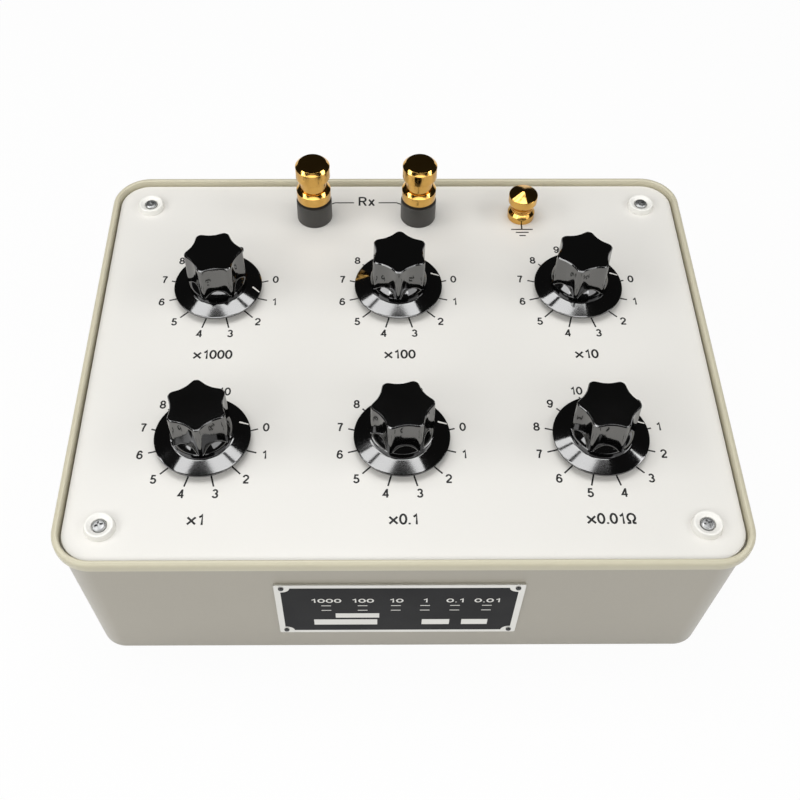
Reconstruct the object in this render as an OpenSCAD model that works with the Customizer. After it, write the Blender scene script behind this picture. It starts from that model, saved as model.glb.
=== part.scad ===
// Decade resistance box: a drafted tub with a sunk panel, six switched decades of wound
// resistors under star knobs, two binding posts and an earth post.
// Millimetres, +Z up, front towards -Y, origin at the middle of the base.

/* [Case] */
// Width over the rim
case_w = 276.4; // [270:0.2:320]
// Depth over the rim
case_d = 216.6; // [212:0.2:260]
// Height from the base to the top of the rim
case_h = 84.7; // [75:0.1:130]
// Corner radius of the rim in plan
rim_r = 17; // [12:0.5:22]
// Width of the rim bead
rim_t = 2.7; // [2.6:0.1:4.4]
// Height of the rim bead
rim_h = 5; // [4.5:0.1:7]
// Distance that the rim stands out past the wall
lip = 2; // [0.8:0.1:2.5]
// Width of the ledge that the panel lies on
ledge_w = 1.6; // [1.2:0.1:3]
// Thickness of the floor
floor_t = 3; // [2:0.1:5]
// Draft of the walls in degrees
draft = 2.3; // [0.5:0.1:3]
// Bevel along the bottom edge
base_bevel = 1; // [0.4:0.1:1.6]
// Radius of the moulded posts under the panel screws
boss_r = 6; // [4:0.1:8]

/* [Panel] */
// Thickness of the panel
panel_t = 3; // [2:0.1:4]
// Depth of the panel below the top of the rim
panel_drop = 2.7; // [2:0.1:4]
// Gap between the panel and the rim
panel_gap = 0.9; // [0.3:0.1:1]
// Distance of the panel screws from the sides of the rim
screw_inset_x = 18.6; // [17:0.1:24]
// Distance of the panel screws from the front and back of the rim
screw_inset_y = 18.3; // [17:0.1:24]
// Radius of a screw cup at its foot
cup_r = 6.3; // [5:0.1:7]
// Distance that a screw cup narrows from its foot to its top
cup_slope = 0.6; // [0.2:0.1:1]
// Height of a screw cup
cup_h = 2.8; // [2.6:0.1:5]
// Width of a screw cup's flat edge
cup_edge = 0.8; // [0.4:0.1:1.4]
// Depth of the dish between the edge and the screw head
cup_dish = 1; // [0.4:0.1:1.4]
// Thickness of a screw cup's floor under the screw head
cup_floor = 0.8; // [0.6:0.1:1.2]
// Shank radius of the panel screws
screw_r = 1.5; // [1.2:0.1:2]
// Head radius of the panel screws
screw_head_r = 2.9; // [2.4:0.1:3.4]
// Head height of the panel screws
screw_head_h = 1.8; // [1.4:0.1:2.4]
// Depth that a panel screw reaches into its post
screw_bite = 10; // [6:0.5:16]

/* [Nameplate] */
// Width of the nameplate
plate_w = 101; // [80:1:120]
// Height of the nameplate
plate_h = 47; // [36:1:54]
// Thickness of the nameplate
plate_t = 1; // [0.6:0.1:1.6]
// Middle of the nameplate, to the right of the middle of the front
plate_x = -1.5; // [-20:0.5:20]
// Middle of the nameplate above the base
plate_z = 41.5; // [36:0.5:44]
// Distance of a rivet from the plate's edges
rivet_inset = 3; // [2.5:0.1:5]
// Head radius of a rivet
rivet_head_r = 1.2; // [1.1:0.1:1.8]
// Shank radius of a rivet
rivet_r = 0.8; // [0.6:0.05:1]

/* [Dials] */
// Distance between the dial columns
dial_dx = 82.4; // [80:0.2:86]
// Distance between the dial rows
dial_dy = 83.8; // [80:0.2:88]
// Middle of the dial grid behind the middle of the panel
dial_y = -6.75; // [-10:0.25:-2]
// Angle between two switch positions in degrees
step = 30; // [28:0.5:32]
// Pointer lead on the ticks in degrees
pointer_lead = 1; // [0:0.5:5]
// Angle of the pointer groove to the skirt's radius in degrees
pointer_skew = 22; // [0:1:30]
// Length of the pointer groove in a skirt
pointer_l = 4.3; // [3:0.1:6]
// Width of the pointer groove
pointer_w = 0.9; // [0.5:0.1:1.4]
// Depth of the pointer groove
pointer_depth = 0.3; // [0.2:0.05:0.5]

/* [Knobs] */
// Height of a knob's top above the panel
knob_h = 25.6; // [22:0.1:32]
// Radius of the star's tips at the top
star_r = 12.6; // [11.8:0.1:13]
// Radius of the star's valleys
valley_r = 10.3; // [9.5:0.1:11]
// Radius of the hollow flutes
flute_r = 12; // [9:0.5:24]
// Radius of the collar under the star
collar_r = 13.2; // [12.8:0.1:14]
// Height of the collar
collar_h = 2.7; // [1.5:0.1:4]
// Height of the sloped ledge where a flute runs out
ledge_h = 2.9; // [1:0.1:4]
// Bevel round the star's top
star_bevel = 0.5; // [0.2:0.1:1]
// Radius of the skirt
skirt_r = 20; // [17:0.1:22]
// Gap under the skirt
skirt_gap = 3; // [2.9:0.1:5]
// Height of the skirt's edge
skirt_edge = 0.9; // [0.6:0.1:2]
// Height of the skirt from its edge to its top
skirt_rise = 2.1; // [0.8:0.1:4]
// Wall of the skirt
skirt_t = 1.6; // [1:0.1:2]
// Radius of the head's spigot in the skirt
spigot_r = 7; // [6:0.1:9]
// Depth of the spindle in the knob, above the collar's foot
spindle_bite = 14; // [8:0.5:16]
// Radius of the hole for the grub screw
grub_r = 1.6; // [1:0.1:2]
// Height of the grub screw above the collar's foot
grub_z = 9; // [8:0.1:11]

/* [Switches] */
// Radius of a spindle
spindle_r = 3; // [2.5:0.1:3.5]
// Radius of a bush
bush_r = 5; // [4.4:0.1:6]
// Radius of a bush's flange
bush_flange_r = 8; // [7:0.1:10]
// Height of a bush's flange
bush_flange_h = 3; // [2:0.1:5]
// Height of a bush above the panel
bush_up = 2.8; // [2.5:0.1:2.8]
// Width of a bush nut across its flats
bush_nut_w = 14; // [13:0.1:17]
// Height of a bush nut
bush_nut_h = 2.4; // [1.6:0.1:2.4]
// Thickness of an index plate
index_t = 1.5; // [1:0.1:2.5]
// Width of an index plate
index_w = 16; // [13:0.5:22]
// Length of the pillars
pillar_l = 17.5; // [16:0.5:26]
// Radius of the pillars
pillar_r = 3; // [2.5:0.1:3.4]
// Radius of a deck
deck_r = 36; // [35:0.1:39]
// Thickness of a deck
deck_t = 2.5; // [1.6:0.1:4]
// Distance of the pillars from a deck's edge
pillar_inset = 5; // [4:0.1:5]
// Distance of the contact studs from a deck's edge
stud_inset = 12; // [11:0.1:13]
// Head radius of a contact stud
stud_head_r = 2.6; // [2:0.1:3]
// Head height of a contact stud
stud_head_h = 1.5; // [1:0.1:2.5]
// Shank radius of a contact stud
stud_r = 1.5; // [1:0.1:1.7]
// Length of a contact stud's tail under the deck
stud_tail = 3.5; // [2:0.1:6]
// Inner radius of a collector ring
ring_in_r = 7; // [6.6:0.1:8]
// Outer radius of a collector ring
ring_out_r = 10; // [9:0.1:12]
// Radius of a contact arm's hub
arm_hub_r = 6; // [5:0.1:6.2]
// Height of a contact arm's hub
arm_hub_h = 7; // [4:0.1:7]
// Width of a contact arm
arm_w = 5; // [3:0.1:6]
// Thickness of a contact arm
arm_t = 0.9; // [0.5:0.1:1.5]
// Radius of a deck screw's shank
deck_screw_r = 1.5; // [1:0.1:1.8]
// Length of a deck screw in its pillar
deck_screw_bite = 8; // [5:0.5:12]
// Length of a resistor bobbin
bobbin_l = 26; // [12:1:30]
// Flange radius of a resistor bobbin
bobbin_r = 4; // [3:0.1:4.2]
// Thickness of a bobbin's flanges
flange_t = 2; // [1:0.1:3]
// Width of a link bar
link_w = 5; // [3:0.1:7]
// Thickness of a link bar
link_t = 1; // [0.6:0.1:1.6]
// Length of a link bar under each deck
link_lap = 6; // [3:0.5:7]
// Radius of the rods that stand on the lead straps
riser_r = 1.2; // [0.8:0.1:2]
// Distance that a lead strap's round lugs stand out past its sides
lug_rim = 1; // [0.5:0.1:2]

/* [Binding posts] */
// Place of the left post along the panel
post_x = -39.6; // [-45:0.1:-35]
// Distance between neighbouring posts
post_pitch = 50; // [44:0.5:54]
// Distance of the posts from the back of the rim
post_inset = 24.5; // [22:0.1:26]
// Radius of a post's insulator
insulator_r = 8.4; // [7:0.1:10]
// Height of a post's insulator
insulator_h = 11.3; // [8:0.1:16]
// Radius of the insulator's spigot in the panel
insulator_spigot_r = 5; // [4:0.1:6]
// Thickness of the insulating washer under the panel
washer_t = 3; // [2:0.1:4]
// Radius of a post's stud
post_stud_r = 3; // [2.5:0.1:3.4]
// Length of a post's stud under its nut
post_stud_tail = 5; // [3:0.5:8]
// Height of the seat on top of the insulator
seat_h = 0.5; // [0.3:0.1:1]
// Gap for a wire between the seat and the clamp collar
wire_gap = 1.2; // [0.5:0.1:4]
// Radius of the clamp collar
clamp_r = 8.1; // [7:0.1:9]
// Height of the clamp collar
clamp_h = 6.3; // [4:0.1:8]
// Bevel on the clamp collar and on the nut's top
nut_bevel = 1.4; // [0.5:0.1:1.5]
// Radius of the nut's spigot in the clamp collar
nut_spigot_r = 4.5; // [4:0.1:5]
// Radius of the nut's neck
neck_r = 6.2; // [5.4:0.1:6.6]
// Height of the nut's neck
neck_h = 6.6; // [4:0.1:9]
// Radius of the nut's drum
drum_r = 8.05; // [7.4:0.05:9]
// Height of the nut's drum with its bevel
drum_h = 7.4; // [5:0.1:10]
// Thickness of the nut's top over the stud's hole
nut_cap = 2.6; // [1.5:0.1:4]
// Width of a stud nut across its flats
stud_nut_w = 10; // [9:0.1:12]
// Height of a stud nut
stud_nut_h = 5; // [3:0.1:6]

/* [Earth post] */
// Radius of the earth stud
earth_stud_r = 2.5; // [2:0.1:3]
// Radius of the earth stud's flange
earth_flange_r = 6.45; // [5.6:0.05:8]
// Height of the flange's straight band
earth_band = 3.4; // [2:0.1:5]
// Height of the flange's slope
earth_slope = 1.6; // [1:0.1:3]
// Radius of the earth post's waist
earth_waist_r = 5.2; // [4.4:0.1:5.4]
// Thickness of the earth post's clamp washer
earth_washer_t = 0.8; // [0.5:0.1:1.5]
// Radius of the earth nut's head
earth_head_r = 6.84; // [6:0.02:8]
// Height of the earth nut from its foot to its head
earth_neck = 6.2; // [4:0.1:9]
// Height of the earth nut's head band
earth_head_band = 1.8; // [1:0.1:3]
// Height of the earth nut's pointed top
earth_point = 2.4; // [1.5:0.1:4]

/* [Clearances] */
// Radial clearance of a turning shaft
run = 0.03; // [0.02:0.01:0.06]
// Radial clearance of a fixed pin or screw in its hole
fit = 0.05; // [0.03:0.01:0.08]
// Radial clearance of a panel screw in the panel
screw_play = 0.2; // [0.1:0.05:0.4]
// Gap between faces that turn past each other
slip = 0.3; // [0.2:0.05:0.5]
// Gap between a turning nut and the piece that it presses
nut_slip = 0.1; // [0.05:0.05:0.2]

/* [Hidden] */
$fn = 96;
over = 1;
decades = ["x1000", "x100", "x10", "x1", "x0_1", "x0_01"];
// switch position at rest, and the first tick's angle, for each decade
rest_position = [1, 0, 0, 0, 0, 1];
first_tick = [15, 15, 15, 15, 15, 45];
positions = 11;
// angle of a star tip at rest, and the radius of the winding, for each decade
star_angle = [6.7, 28, 14.6, 34.8, 5.1, 58.5];
winding_r = [0.95, 0.9, 0.85, 0.75, 0.65, 0.55] * bobbin_r;
// angle of the pillars and of a lead strap's rod round a deck
pillar_angle = 45;
lead_angle = 60;
// decks with a link bar to the next deck on their right
linked_decks = [0, 1, 3, 4];

wall_t = rim_t + ledge_w - lip;
panel_top = case_h - panel_drop;
panel_under = panel_top - panel_t;
rim_foot = case_h - rim_h;
taper = rim_foot * tan(draft);
inner_taper = panel_under * tan(draft);
screw_x = case_w / 2 - screw_inset_x;
screw_y = case_d / 2 - screw_inset_y;

skirt_edge_z = skirt_gap + skirt_edge;
skirt_top = skirt_edge_z + skirt_rise;
collar_top = skirt_top + collar_h;
ledge_top = collar_top + ledge_h;
spindle_top = skirt_top + spindle_bite;

index_under = -panel_t - index_t;
bush_foot = index_under - bush_flange_h;
deck_top = index_under - pillar_l;
deck_under = deck_top - deck_t;
arm_z = deck_top + stud_head_h + slip;
pillar_ring_r = deck_r - pillar_inset;
stud_ring_r = deck_r - stud_inset;
spindle_foot = deck_under - stud_tail;
bobbin_foot = deck_under - bobbin_l;

post_y = case_d / 2 - post_inset;
earth_x = post_x + 2 * post_pitch;
seat_top = insulator_h + seat_h;
clamp_z = seat_top + wire_gap;
nut_z = clamp_z + clamp_h + nut_slip;
drum_z = nut_z + neck_h;
nut_top = drum_z + drum_h;
stud_bore_top = nut_top - nut_cap;
post_stud_top = stud_bore_top - wire_gap - seat_h - nut_bevel;
post_nut_z = -panel_t - washer_t - stud_nut_h;
earth_seat = earth_band + earth_slope;
earth_washer_z = earth_seat + nut_slip;
earth_nut_z = earth_washer_z + earth_washer_t + nut_slip;
earth_head_z = earth_nut_z + earth_neck;
earth_point_z = earth_head_z + earth_head_band;
earth_stud_top = earth_head_z - slip;

function dial_at(i) = [(i % 3 - 1) * dial_dx, dial_y + (i < 3 ? dial_dy : -dial_dy) / 2];
function tick_angle(i, k) = first_tick[i] - step * k;

// Places

module on_panel() translate([0, 0, panel_top]) children();

module at_dial(i) on_panel() translate(dial_at(i)) children();

module at_dials() for (i = [0 : len(decades) - 1]) at_dial(i) children();

module at_screws() for (x = [-1, 1], y = [-1, 1]) translate([x * screw_x, y * screw_y, 0]) children();

module at_post(i) on_panel() translate([post_x + i * post_pitch, post_y, 0]) children();

module at_pillars() {
    for (a = [pillar_angle, pillar_angle + 180]) rotate(a) translate([pillar_ring_r, 0, 0]) children();
}

module at_studs(i) {
    for (k = [0 : positions - 1]) rotate(tick_angle(i, k)) translate([stud_ring_r, 0, 0]) children();
}

// Local frame of the nameplate: X to the right, Y up the drafted wall, Z out of it
module on_front_wall() {
    inward = lip + (rim_foot - plate_z) * tan(draft);
    translate([plate_x, inward - case_d / 2, plate_z]) rotate([90 + draft, 0, 0]) children();
}

module at_rivets() {
    for (x = [-1, 1], y = [-1, 1])
        translate([x * (plate_w / 2 - rivet_inset), y * (plate_h / 2 - rivet_inset), 0]) children();
}

// Shared shapes

module round_rect(w, d, r) {
    square([w - 2 * r, d], center = true);
    square([w, d - 2 * r], center = true);
    for (x = [-1, 1], y = [-1, 1]) translate([x * (w / 2 - r), y * (d / 2 - r)]) circle(r);
}

module hex_nut(across, h, hole_r) {
    difference() {
        cylinder(h = h, r = across / 2 / cos(30), $fn = 6);
        translate([0, 0, -over]) cylinder(h = h + 2 * over, r = hole_r);
    }
}

// Case and panel

// Section of the wall and rim: x = 0 is the rim's outer face, inside is -x
module wall_section() {
    polygon([
        [-lip - taper - base_bevel, 0],
        [-lip - taper + base_bevel * tan(draft), base_bevel],
        [-lip, rim_foot],
        [-lip, panel_top],
        [-rim_t, panel_top],
        [-rim_t, panel_under],
        [-rim_t - ledge_w, panel_under],
        [-rim_t - ledge_w - inner_taper, 0]]);
    translate([-rim_t, rim_foot + rim_t / 2]) square([rim_t, rim_h - rim_t]);
    for (z = [rim_foot + rim_t / 2, case_h - rim_t / 2]) translate([-rim_t / 2, z]) circle(rim_t / 2);
}

module case_tub() {
    floor_inset = lip + taper + base_bevel + wall_t / 2;
    color([0.80, 0.78, 0.68]) difference() {
        union() {
            for (a = [0 : 3]) {
                across = a % 2 == 0 ? case_d : case_w;
                along = a % 2 == 0 ? case_w : case_d;
                rotate(90 * a) translate([0, across / 2, 0]) rotate([90, 0, 90])
                    linear_extrude(along - 2 * rim_r, center = true) wall_section();
                rotate(90 * a) translate([along / 2 - rim_r, across / 2 - rim_r, 0])
                    rotate_extrude(angle = 90) translate([rim_r, 0]) wall_section();
            }
            linear_extrude(floor_t)
                round_rect(case_w - 2 * floor_inset, case_d - 2 * floor_inset, rim_r - floor_inset);
            at_screws() cylinder(h = panel_under, r = boss_r);
        }
        at_screws() translate([0, 0, panel_under - screw_bite - over])
            cylinder(h = screw_bite + 2 * over, r = screw_r + fit);
        on_front_wall() at_rivets() translate([0, 0, -wall_t - over])
            cylinder(h = wall_t + 2 * over, r = rivet_r + fit);
    }
}

module front_panel() {
    inset = rim_t + panel_gap;
    color([0.93, 0.92, 0.90]) difference() {
        translate([0, 0, panel_under]) linear_extrude(panel_t)
            round_rect(case_w - 2 * inset, case_d - 2 * inset, rim_r - inset);
        translate([0, 0, panel_under - over]) {
            hole_h = panel_t + 2 * over;
            at_screws() cylinder(h = hole_h, r = screw_r + screw_play);
            for (i = [0 : len(decades) - 1]) translate(dial_at(i)) cylinder(h = hole_h, r = bush_r + fit);
            for (i = [0, 1]) translate([post_x + i * post_pitch, post_y, 0])
                cylinder(h = hole_h, r = insulator_spigot_r + fit);
            translate([earth_x, post_y, 0]) cylinder(h = hole_h, r = earth_stud_r + fit);
        }
    }
}

module screw_cups() {
    cup_top_r = cup_r - cup_slope;
    recess_r = screw_head_r + slip;
    color([0.96, 0.95, 0.92]) on_panel() at_screws() difference() {
        cylinder(h = cup_h, r1 = cup_r, r2 = cup_top_r);
        translate([0, 0, cup_h - cup_dish])
            cylinder(h = cup_dish, r1 = recess_r, r2 = cup_top_r - cup_edge);
        translate([0, 0, cup_floor]) cylinder(h = cup_h, r = recess_r);
        translate([0, 0, -over]) cylinder(h = cup_h, r = screw_r + screw_play);
    }
}

module panel_screws() {
    cross_w = screw_head_r / 3;
    cross_l = 1.2 * screw_head_r;
    shank = cup_floor + panel_t + screw_bite - slip;
    color([0.75, 0.75, 0.74]) on_panel() at_screws() translate([0, 0, cup_floor]) difference() {
        union() {
            cylinder(h = screw_head_h, r = screw_head_r);
            translate([0, 0, -shank]) cylinder(h = shank + screw_head_h, r = screw_r);
        }
        for (a = [0, 90]) rotate(a) translate([0, 0, screw_head_h])
            cube([cross_l, cross_w, screw_head_h], center = true);
    }
}

module nameplate() {
    color([0.10, 0.10, 0.11]) on_front_wall() difference() {
        linear_extrude(plate_t) round_rect(plate_w, plate_h, plate_t);
        at_rivets() translate([0, 0, -over]) cylinder(h = plate_t + 2 * over, r = rivet_r + fit);
    }
}

module nameplate_rivets() {
    color([0.70, 0.70, 0.68]) on_front_wall() at_rivets() {
        translate([0, 0, plate_t]) cylinder(h = rivet_r, r1 = rivet_head_r, r2 = rivet_r);
        translate([0, 0, -wall_t]) cylinder(h = wall_t + plate_t + rivet_r, r = rivet_r);
    }
}

// Switches

module index_plates() {
    color([0.66, 0.66, 0.63]) at_dials() translate([0, 0, index_under]) difference() {
        union() {
            rotate(pillar_angle) translate([-pillar_ring_r, -index_w / 2, 0])
                cube([2 * pillar_ring_r, index_w, index_t]);
            at_pillars() cylinder(h = index_t, r = index_w / 2);
        }
        translate([0, 0, -over]) cylinder(h = index_t + 2 * over, r = bush_r + fit);
        at_pillars() translate([0, 0, -over]) cylinder(h = index_t + 2 * over, r = pillar_r / 2 + fit);
    }
}

module spindle_bushes() {
    color([0.78, 0.62, 0.30]) at_dials() difference() {
        union() {
            translate([0, 0, bush_foot]) cylinder(h = bush_up - bush_foot, r = bush_r);
            translate([0, 0, bush_foot]) cylinder(h = bush_flange_h, r = bush_flange_r);
        }
        translate([0, 0, bush_foot - over])
            cylinder(h = bush_up - bush_foot + 2 * over, r = spindle_r + run);
    }
}

module bush_nuts() color([0.75, 0.75, 0.72]) at_dials() hex_nut(bush_nut_w, bush_nut_h, bush_r + fit);

module deck_pillars() {
    color([0.78, 0.62, 0.30]) at_dials() at_pillars() difference() {
        union() {
            translate([0, 0, deck_top]) cylinder(h = pillar_l, r = pillar_r);
            translate([0, 0, index_under]) cylinder(h = index_t, r = pillar_r / 2);
        }
        translate([0, 0, deck_top - over]) cylinder(h = deck_screw_bite + over, r = deck_screw_r + fit);
    }
}

module deck_screws() {
    head_r = 1.8 * deck_screw_r;
    head_h = 1.2 * deck_screw_r;
    color([0.75, 0.75, 0.72]) at_dials() at_pillars() {
        translate([0, 0, deck_under - head_h]) cylinder(h = head_h, r = head_r);
        translate([0, 0, deck_under - head_h])
            cylinder(h = head_h + deck_t + deck_screw_bite - slip, r = deck_screw_r);
    }
}

module switch_decks() {
    color([0.45, 0.27, 0.13]) for (i = [0 : len(decades) - 1]) at_dial(i) difference() {
        translate([0, 0, deck_under]) cylinder(h = deck_t, r = deck_r);
        translate([0, 0, deck_under - over]) {
            cylinder(h = deck_t + 2 * over, r = spindle_r + slip);
            at_studs(i) cylinder(h = deck_t + 2 * over, r = stud_r + fit);
            at_pillars() cylinder(h = deck_t + 2 * over, r = deck_screw_r + fit);
        }
    }
}

module contact_studs() {
    color([0.80, 0.64, 0.30]) for (i = [0 : len(decades) - 1]) at_dial(i) at_studs(i) {
        translate([0, 0, deck_top]) cylinder(h = stud_head_h, r = stud_head_r);
        translate([0, 0, deck_under - stud_tail])
            cylinder(h = stud_tail + deck_t + stud_head_h, r = stud_r);
    }
}

module collector_rings() {
    color([0.80, 0.64, 0.30]) at_dials() translate([0, 0, deck_top]) difference() {
        cylinder(h = stud_head_h, r = ring_out_r);
        translate([0, 0, -over]) cylinder(h = stud_head_h + 2 * over, r = ring_in_r);
    }
}

// One wound bobbin for each step, hung under the deck between two studs
module resistors(i) {
    color([0.55, 0.18, 0.10]) at_dial(i) for (k = [0 : positions - 2])
        rotate(tick_angle(i, k + 0.5)) translate([stud_ring_r, 0, bobbin_foot]) {
            cylinder(h = bobbin_l, r = winding_r[i]);
            for (z = [0, bobbin_l - flange_t]) translate([0, 0, z]) cylinder(h = flange_t, r = bobbin_r);
        }
}

module spindle(i) {
    shoulder_r = 1.5 * spindle_r;
    shoulder_h = spindle_r / 1.5;
    color([0.72, 0.72, 0.70]) at_dial(i) {
        translate([0, 0, spindle_foot]) cylinder(h = spindle_top - spindle_foot, r = spindle_r);
        translate([0, 0, bush_foot - slip - shoulder_h]) cylinder(h = shoulder_h, r = shoulder_r);
    }
}

module contact_arm(i) {
    color([0.80, 0.60, 0.28]) at_dial(i) translate([0, 0, arm_z]) rotate(tick_angle(i, rest_position[i]))
        difference() {
            union() {
                cylinder(h = arm_hub_h, r = arm_hub_r);
                translate([0, -arm_w / 2, 0]) cube([stud_ring_r, arm_w, arm_t]);
                translate([stud_ring_r, 0, 0]) cylinder(h = arm_t, r = arm_w / 2);
            }
            translate([0, 0, -over]) cylinder(h = arm_hub_h + 2 * over, r = spindle_r + run);
        }
}

// Straight bar under two neighbouring decks, drawn along X from the first deck's axis
module link_bar(pitch) {
    start = deck_r - link_lap;
    translate([start, -link_w / 2, deck_under - link_t]) cube([pitch - 2 * start, link_w, link_t]);
}

module link_bars() {
    color([0.80, 0.45, 0.25]) {
        for (i = linked_decks) at_dial(i) link_bar(dial_dx);
        at_dial(5) rotate(90) link_bar(dial_dy);
    }
}

// Flat strap along a list of plan points, with a round lug at each and a rod standing at both ends
module strap(points, foot, start_top, end_top) {
    last = len(points) - 1;
    translate([0, 0, foot]) linear_extrude(link_t) {
        for (k = [0 : last - 1]) {
            span = points[k + 1] - points[k];
            translate(points[k]) rotate(atan2(span.y, span.x)) translate([0, -link_w / 2])
                square([norm(span), link_w]);
        }
        for (p = points) translate(p) circle(link_w / 2 + lug_rim);
    }
    translate([points[0].x, points[0].y, foot]) cylinder(h = start_top - foot, r = riser_r);
    translate([points[last].x, points[last].y, foot]) cylinder(h = end_top - foot, r = riser_r);
}

module lead_straps() {
    stud_end = post_nut_z - post_stud_tail;
    foot = deck_under - link_lap;
    on_deck = (deck_r - link_lap / 2) * [cos(lead_angle), sin(lead_angle)];
    first = dial_at(0) + on_deck;
    last = dial_at(3) + on_deck;
    left = [post_x, post_y];
    right = [post_x + post_pitch, post_y];
    aisle_x = -dial_dx / 2;
    color([0.80, 0.45, 0.25]) on_panel() {
        strap([first, left], foot, deck_under, stud_end);
        strap([last, [aisle_x, last.y + deck_r / 2], [aisle_x, dial_at(0).y + deck_r], right],
              foot, deck_under, stud_end);
    }
}

// Knobs

module knob_head(i) {
    bore = spindle_top + slip;
    flute_at = valley_r + flute_r;
    color([0.05, 0.05, 0.05]) at_dial(i) rotate(star_angle[i]) difference() {
        union() {
            rotate_extrude() polygon([
                [0, skirt_top - skirt_t], [spigot_r, skirt_top - skirt_t], [spigot_r, skirt_top],
                [collar_r, skirt_top], [collar_r, collar_top], [valley_r, ledge_top], [0, ledge_top]]);
            difference() {
                rotate_extrude() polygon([
                    [0, collar_top], [collar_r, collar_top], [star_r, knob_h - star_bevel],
                    [star_r - star_bevel, knob_h], [0, knob_h]]);
                for (k = [0 : 5]) rotate(30 + 60 * k) translate([flute_at, 0, collar_top - over])
                    cylinder(h = knob_h, r = flute_r);
            }
        }
        cylinder(h = bore, r = spindle_r + run);
        translate([0, 0, skirt_top + grub_z]) rotate([-90, 0, 0]) cylinder(h = collar_r, r = grub_r);
    }
}

module knob_skirt(i) {
    hole_r = spigot_r + fit;
    slope = atan2(skirt_rise, skirt_r - collar_r);
    pointer_angle = tick_angle(i, rest_position[i]) + pointer_lead;
    color([0.06, 0.06, 0.06]) at_dial(i) rotate(pointer_angle) difference() {
        rotate_extrude() polygon([
            [hole_r, skirt_top - skirt_t], [collar_r, skirt_top - skirt_t],
            [skirt_r - skirt_t, skirt_edge_z - skirt_edge / 2], [skirt_r - skirt_t, skirt_gap],
            [skirt_r, skirt_gap], [skirt_r, skirt_edge_z], [collar_r, skirt_top], [hole_r, skirt_top]]);
        translate([skirt_r, 0, skirt_edge_z]) rotate([0, slope, 0]) rotate(-pointer_skew)
            translate([-pointer_l, -pointer_w / 2, -pointer_depth])
                cube([pointer_l + over, pointer_w, pointer_depth + over]);
    }
}

// Binding posts

module post_insulators() {
    color([0.13, 0.13, 0.13]) for (i = [0, 1]) at_post(i) difference() {
        union() {
            cylinder(h = insulator_h, r = insulator_r);
            translate([0, 0, -panel_t]) cylinder(h = panel_t, r = insulator_spigot_r);
        }
        translate([0, 0, -panel_t - over])
            cylinder(h = insulator_h + panel_t + 2 * over, r = post_stud_r + fit);
    }
}

module post_washers() {
    color([0.13, 0.13, 0.13])
        for (i = [0, 1]) at_post(i) translate([0, 0, -panel_t - washer_t]) difference() {
            cylinder(h = washer_t, r = insulator_r);
            translate([0, 0, -over]) cylinder(h = washer_t + 2 * over, r = post_stud_r + fit);
        }
}

module post_studs() {
    foot = post_nut_z - post_stud_tail;
    color([0.78, 0.60, 0.26]) for (i = [0, 1]) at_post(i) {
        translate([0, 0, foot]) cylinder(h = post_stud_top - foot, r = post_stud_r);
        translate([0, 0, insulator_h]) cylinder(h = seat_h, r = neck_r);
    }
}

module stud_nuts() {
    color([0.75, 0.75, 0.72]) {
        for (i = [0, 1]) at_post(i) translate([0, 0, post_nut_z])
            hex_nut(stud_nut_w, stud_nut_h, post_stud_r + fit);
        at_post(2) translate([0, 0, -panel_t - stud_nut_h])
            hex_nut(stud_nut_w, stud_nut_h, earth_stud_r + fit);
    }
}

module clamp_collar(i) {
    color([0.82, 0.62, 0.24]) at_post(i) rotate_extrude() polygon([
        [nut_spigot_r + run, clamp_z], [clamp_r, clamp_z], [clamp_r, clamp_z + clamp_h - nut_bevel],
        [clamp_r - nut_bevel, clamp_z + clamp_h], [nut_spigot_r + run, clamp_z + clamp_h]]);
}

module post_nut(i) {
    bore_r = post_stud_r + run;
    foot = clamp_z + slip;
    color([0.82, 0.62, 0.24]) at_post(i) rotate_extrude() polygon([
        [bore_r, foot], [nut_spigot_r, foot], [nut_spigot_r, nut_z], [neck_r, nut_z],
        [neck_r, drum_z - nut_bevel / 2], [drum_r, drum_z], [drum_r, nut_top - nut_bevel],
        [drum_r - nut_bevel, nut_top], [0, nut_top], [0, stud_bore_top], [bore_r, stud_bore_top]]);
}

// Earth post

module earth_stud() {
    foot = -panel_t - stud_nut_h - post_stud_tail;
    color([0.78, 0.60, 0.26]) at_post(2) {
        translate([0, 0, foot]) cylinder(h = earth_stud_top - foot, r = earth_stud_r);
        cylinder(h = earth_band, r = earth_flange_r);
        translate([0, 0, earth_band]) cylinder(h = earth_slope, r1 = earth_flange_r, r2 = earth_waist_r);
    }
}

module earth_washer() {
    color([0.82, 0.62, 0.24]) at_post(2) translate([0, 0, earth_washer_z]) difference() {
        cylinder(h = earth_washer_t, r = earth_waist_r);
        translate([0, 0, -over]) cylinder(h = earth_washer_t + 2 * over, r = earth_stud_r + run);
    }
}

module earth_nut() {
    bore_r = earth_stud_r + run;
    waist_z = earth_nut_z + earth_neck / 3;
    color([0.82, 0.62, 0.24]) at_post(2) rotate_extrude() polygon([
        [bore_r, earth_nut_z], [earth_waist_r, earth_nut_z], [earth_waist_r - slip, waist_z],
        [earth_head_r, earth_head_z], [earth_head_r, earth_point_z],
        [earth_washer_t, earth_point_z + earth_point], [0, earth_point_z + earth_point],
        [0, earth_head_z + slip], [bore_r, earth_head_z + slip]]);
}

case_tub();
front_panel();
screw_cups();
panel_screws();
nameplate();
nameplate_rivets();
index_plates();
spindle_bushes();
bush_nuts();
deck_pillars();
deck_screws();
switch_decks();
contact_studs();
collector_rings();
link_bars();
lead_straps();
post_insulators();
post_washers();
post_studs();
stud_nuts();
earth_stud();
clamp_collar(0);  // clamp_collar_left
clamp_collar(1);  // clamp_collar_right
post_nut(0);  // post_nut_left
post_nut(1);  // post_nut_right
earth_washer();
earth_nut();
for (i = [0 : len(decades) - 1]) {
    resistors(i);
    knob_head(i);
    knob_skirt(i);
    spindle(i);
    contact_arm(i);
}
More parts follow.
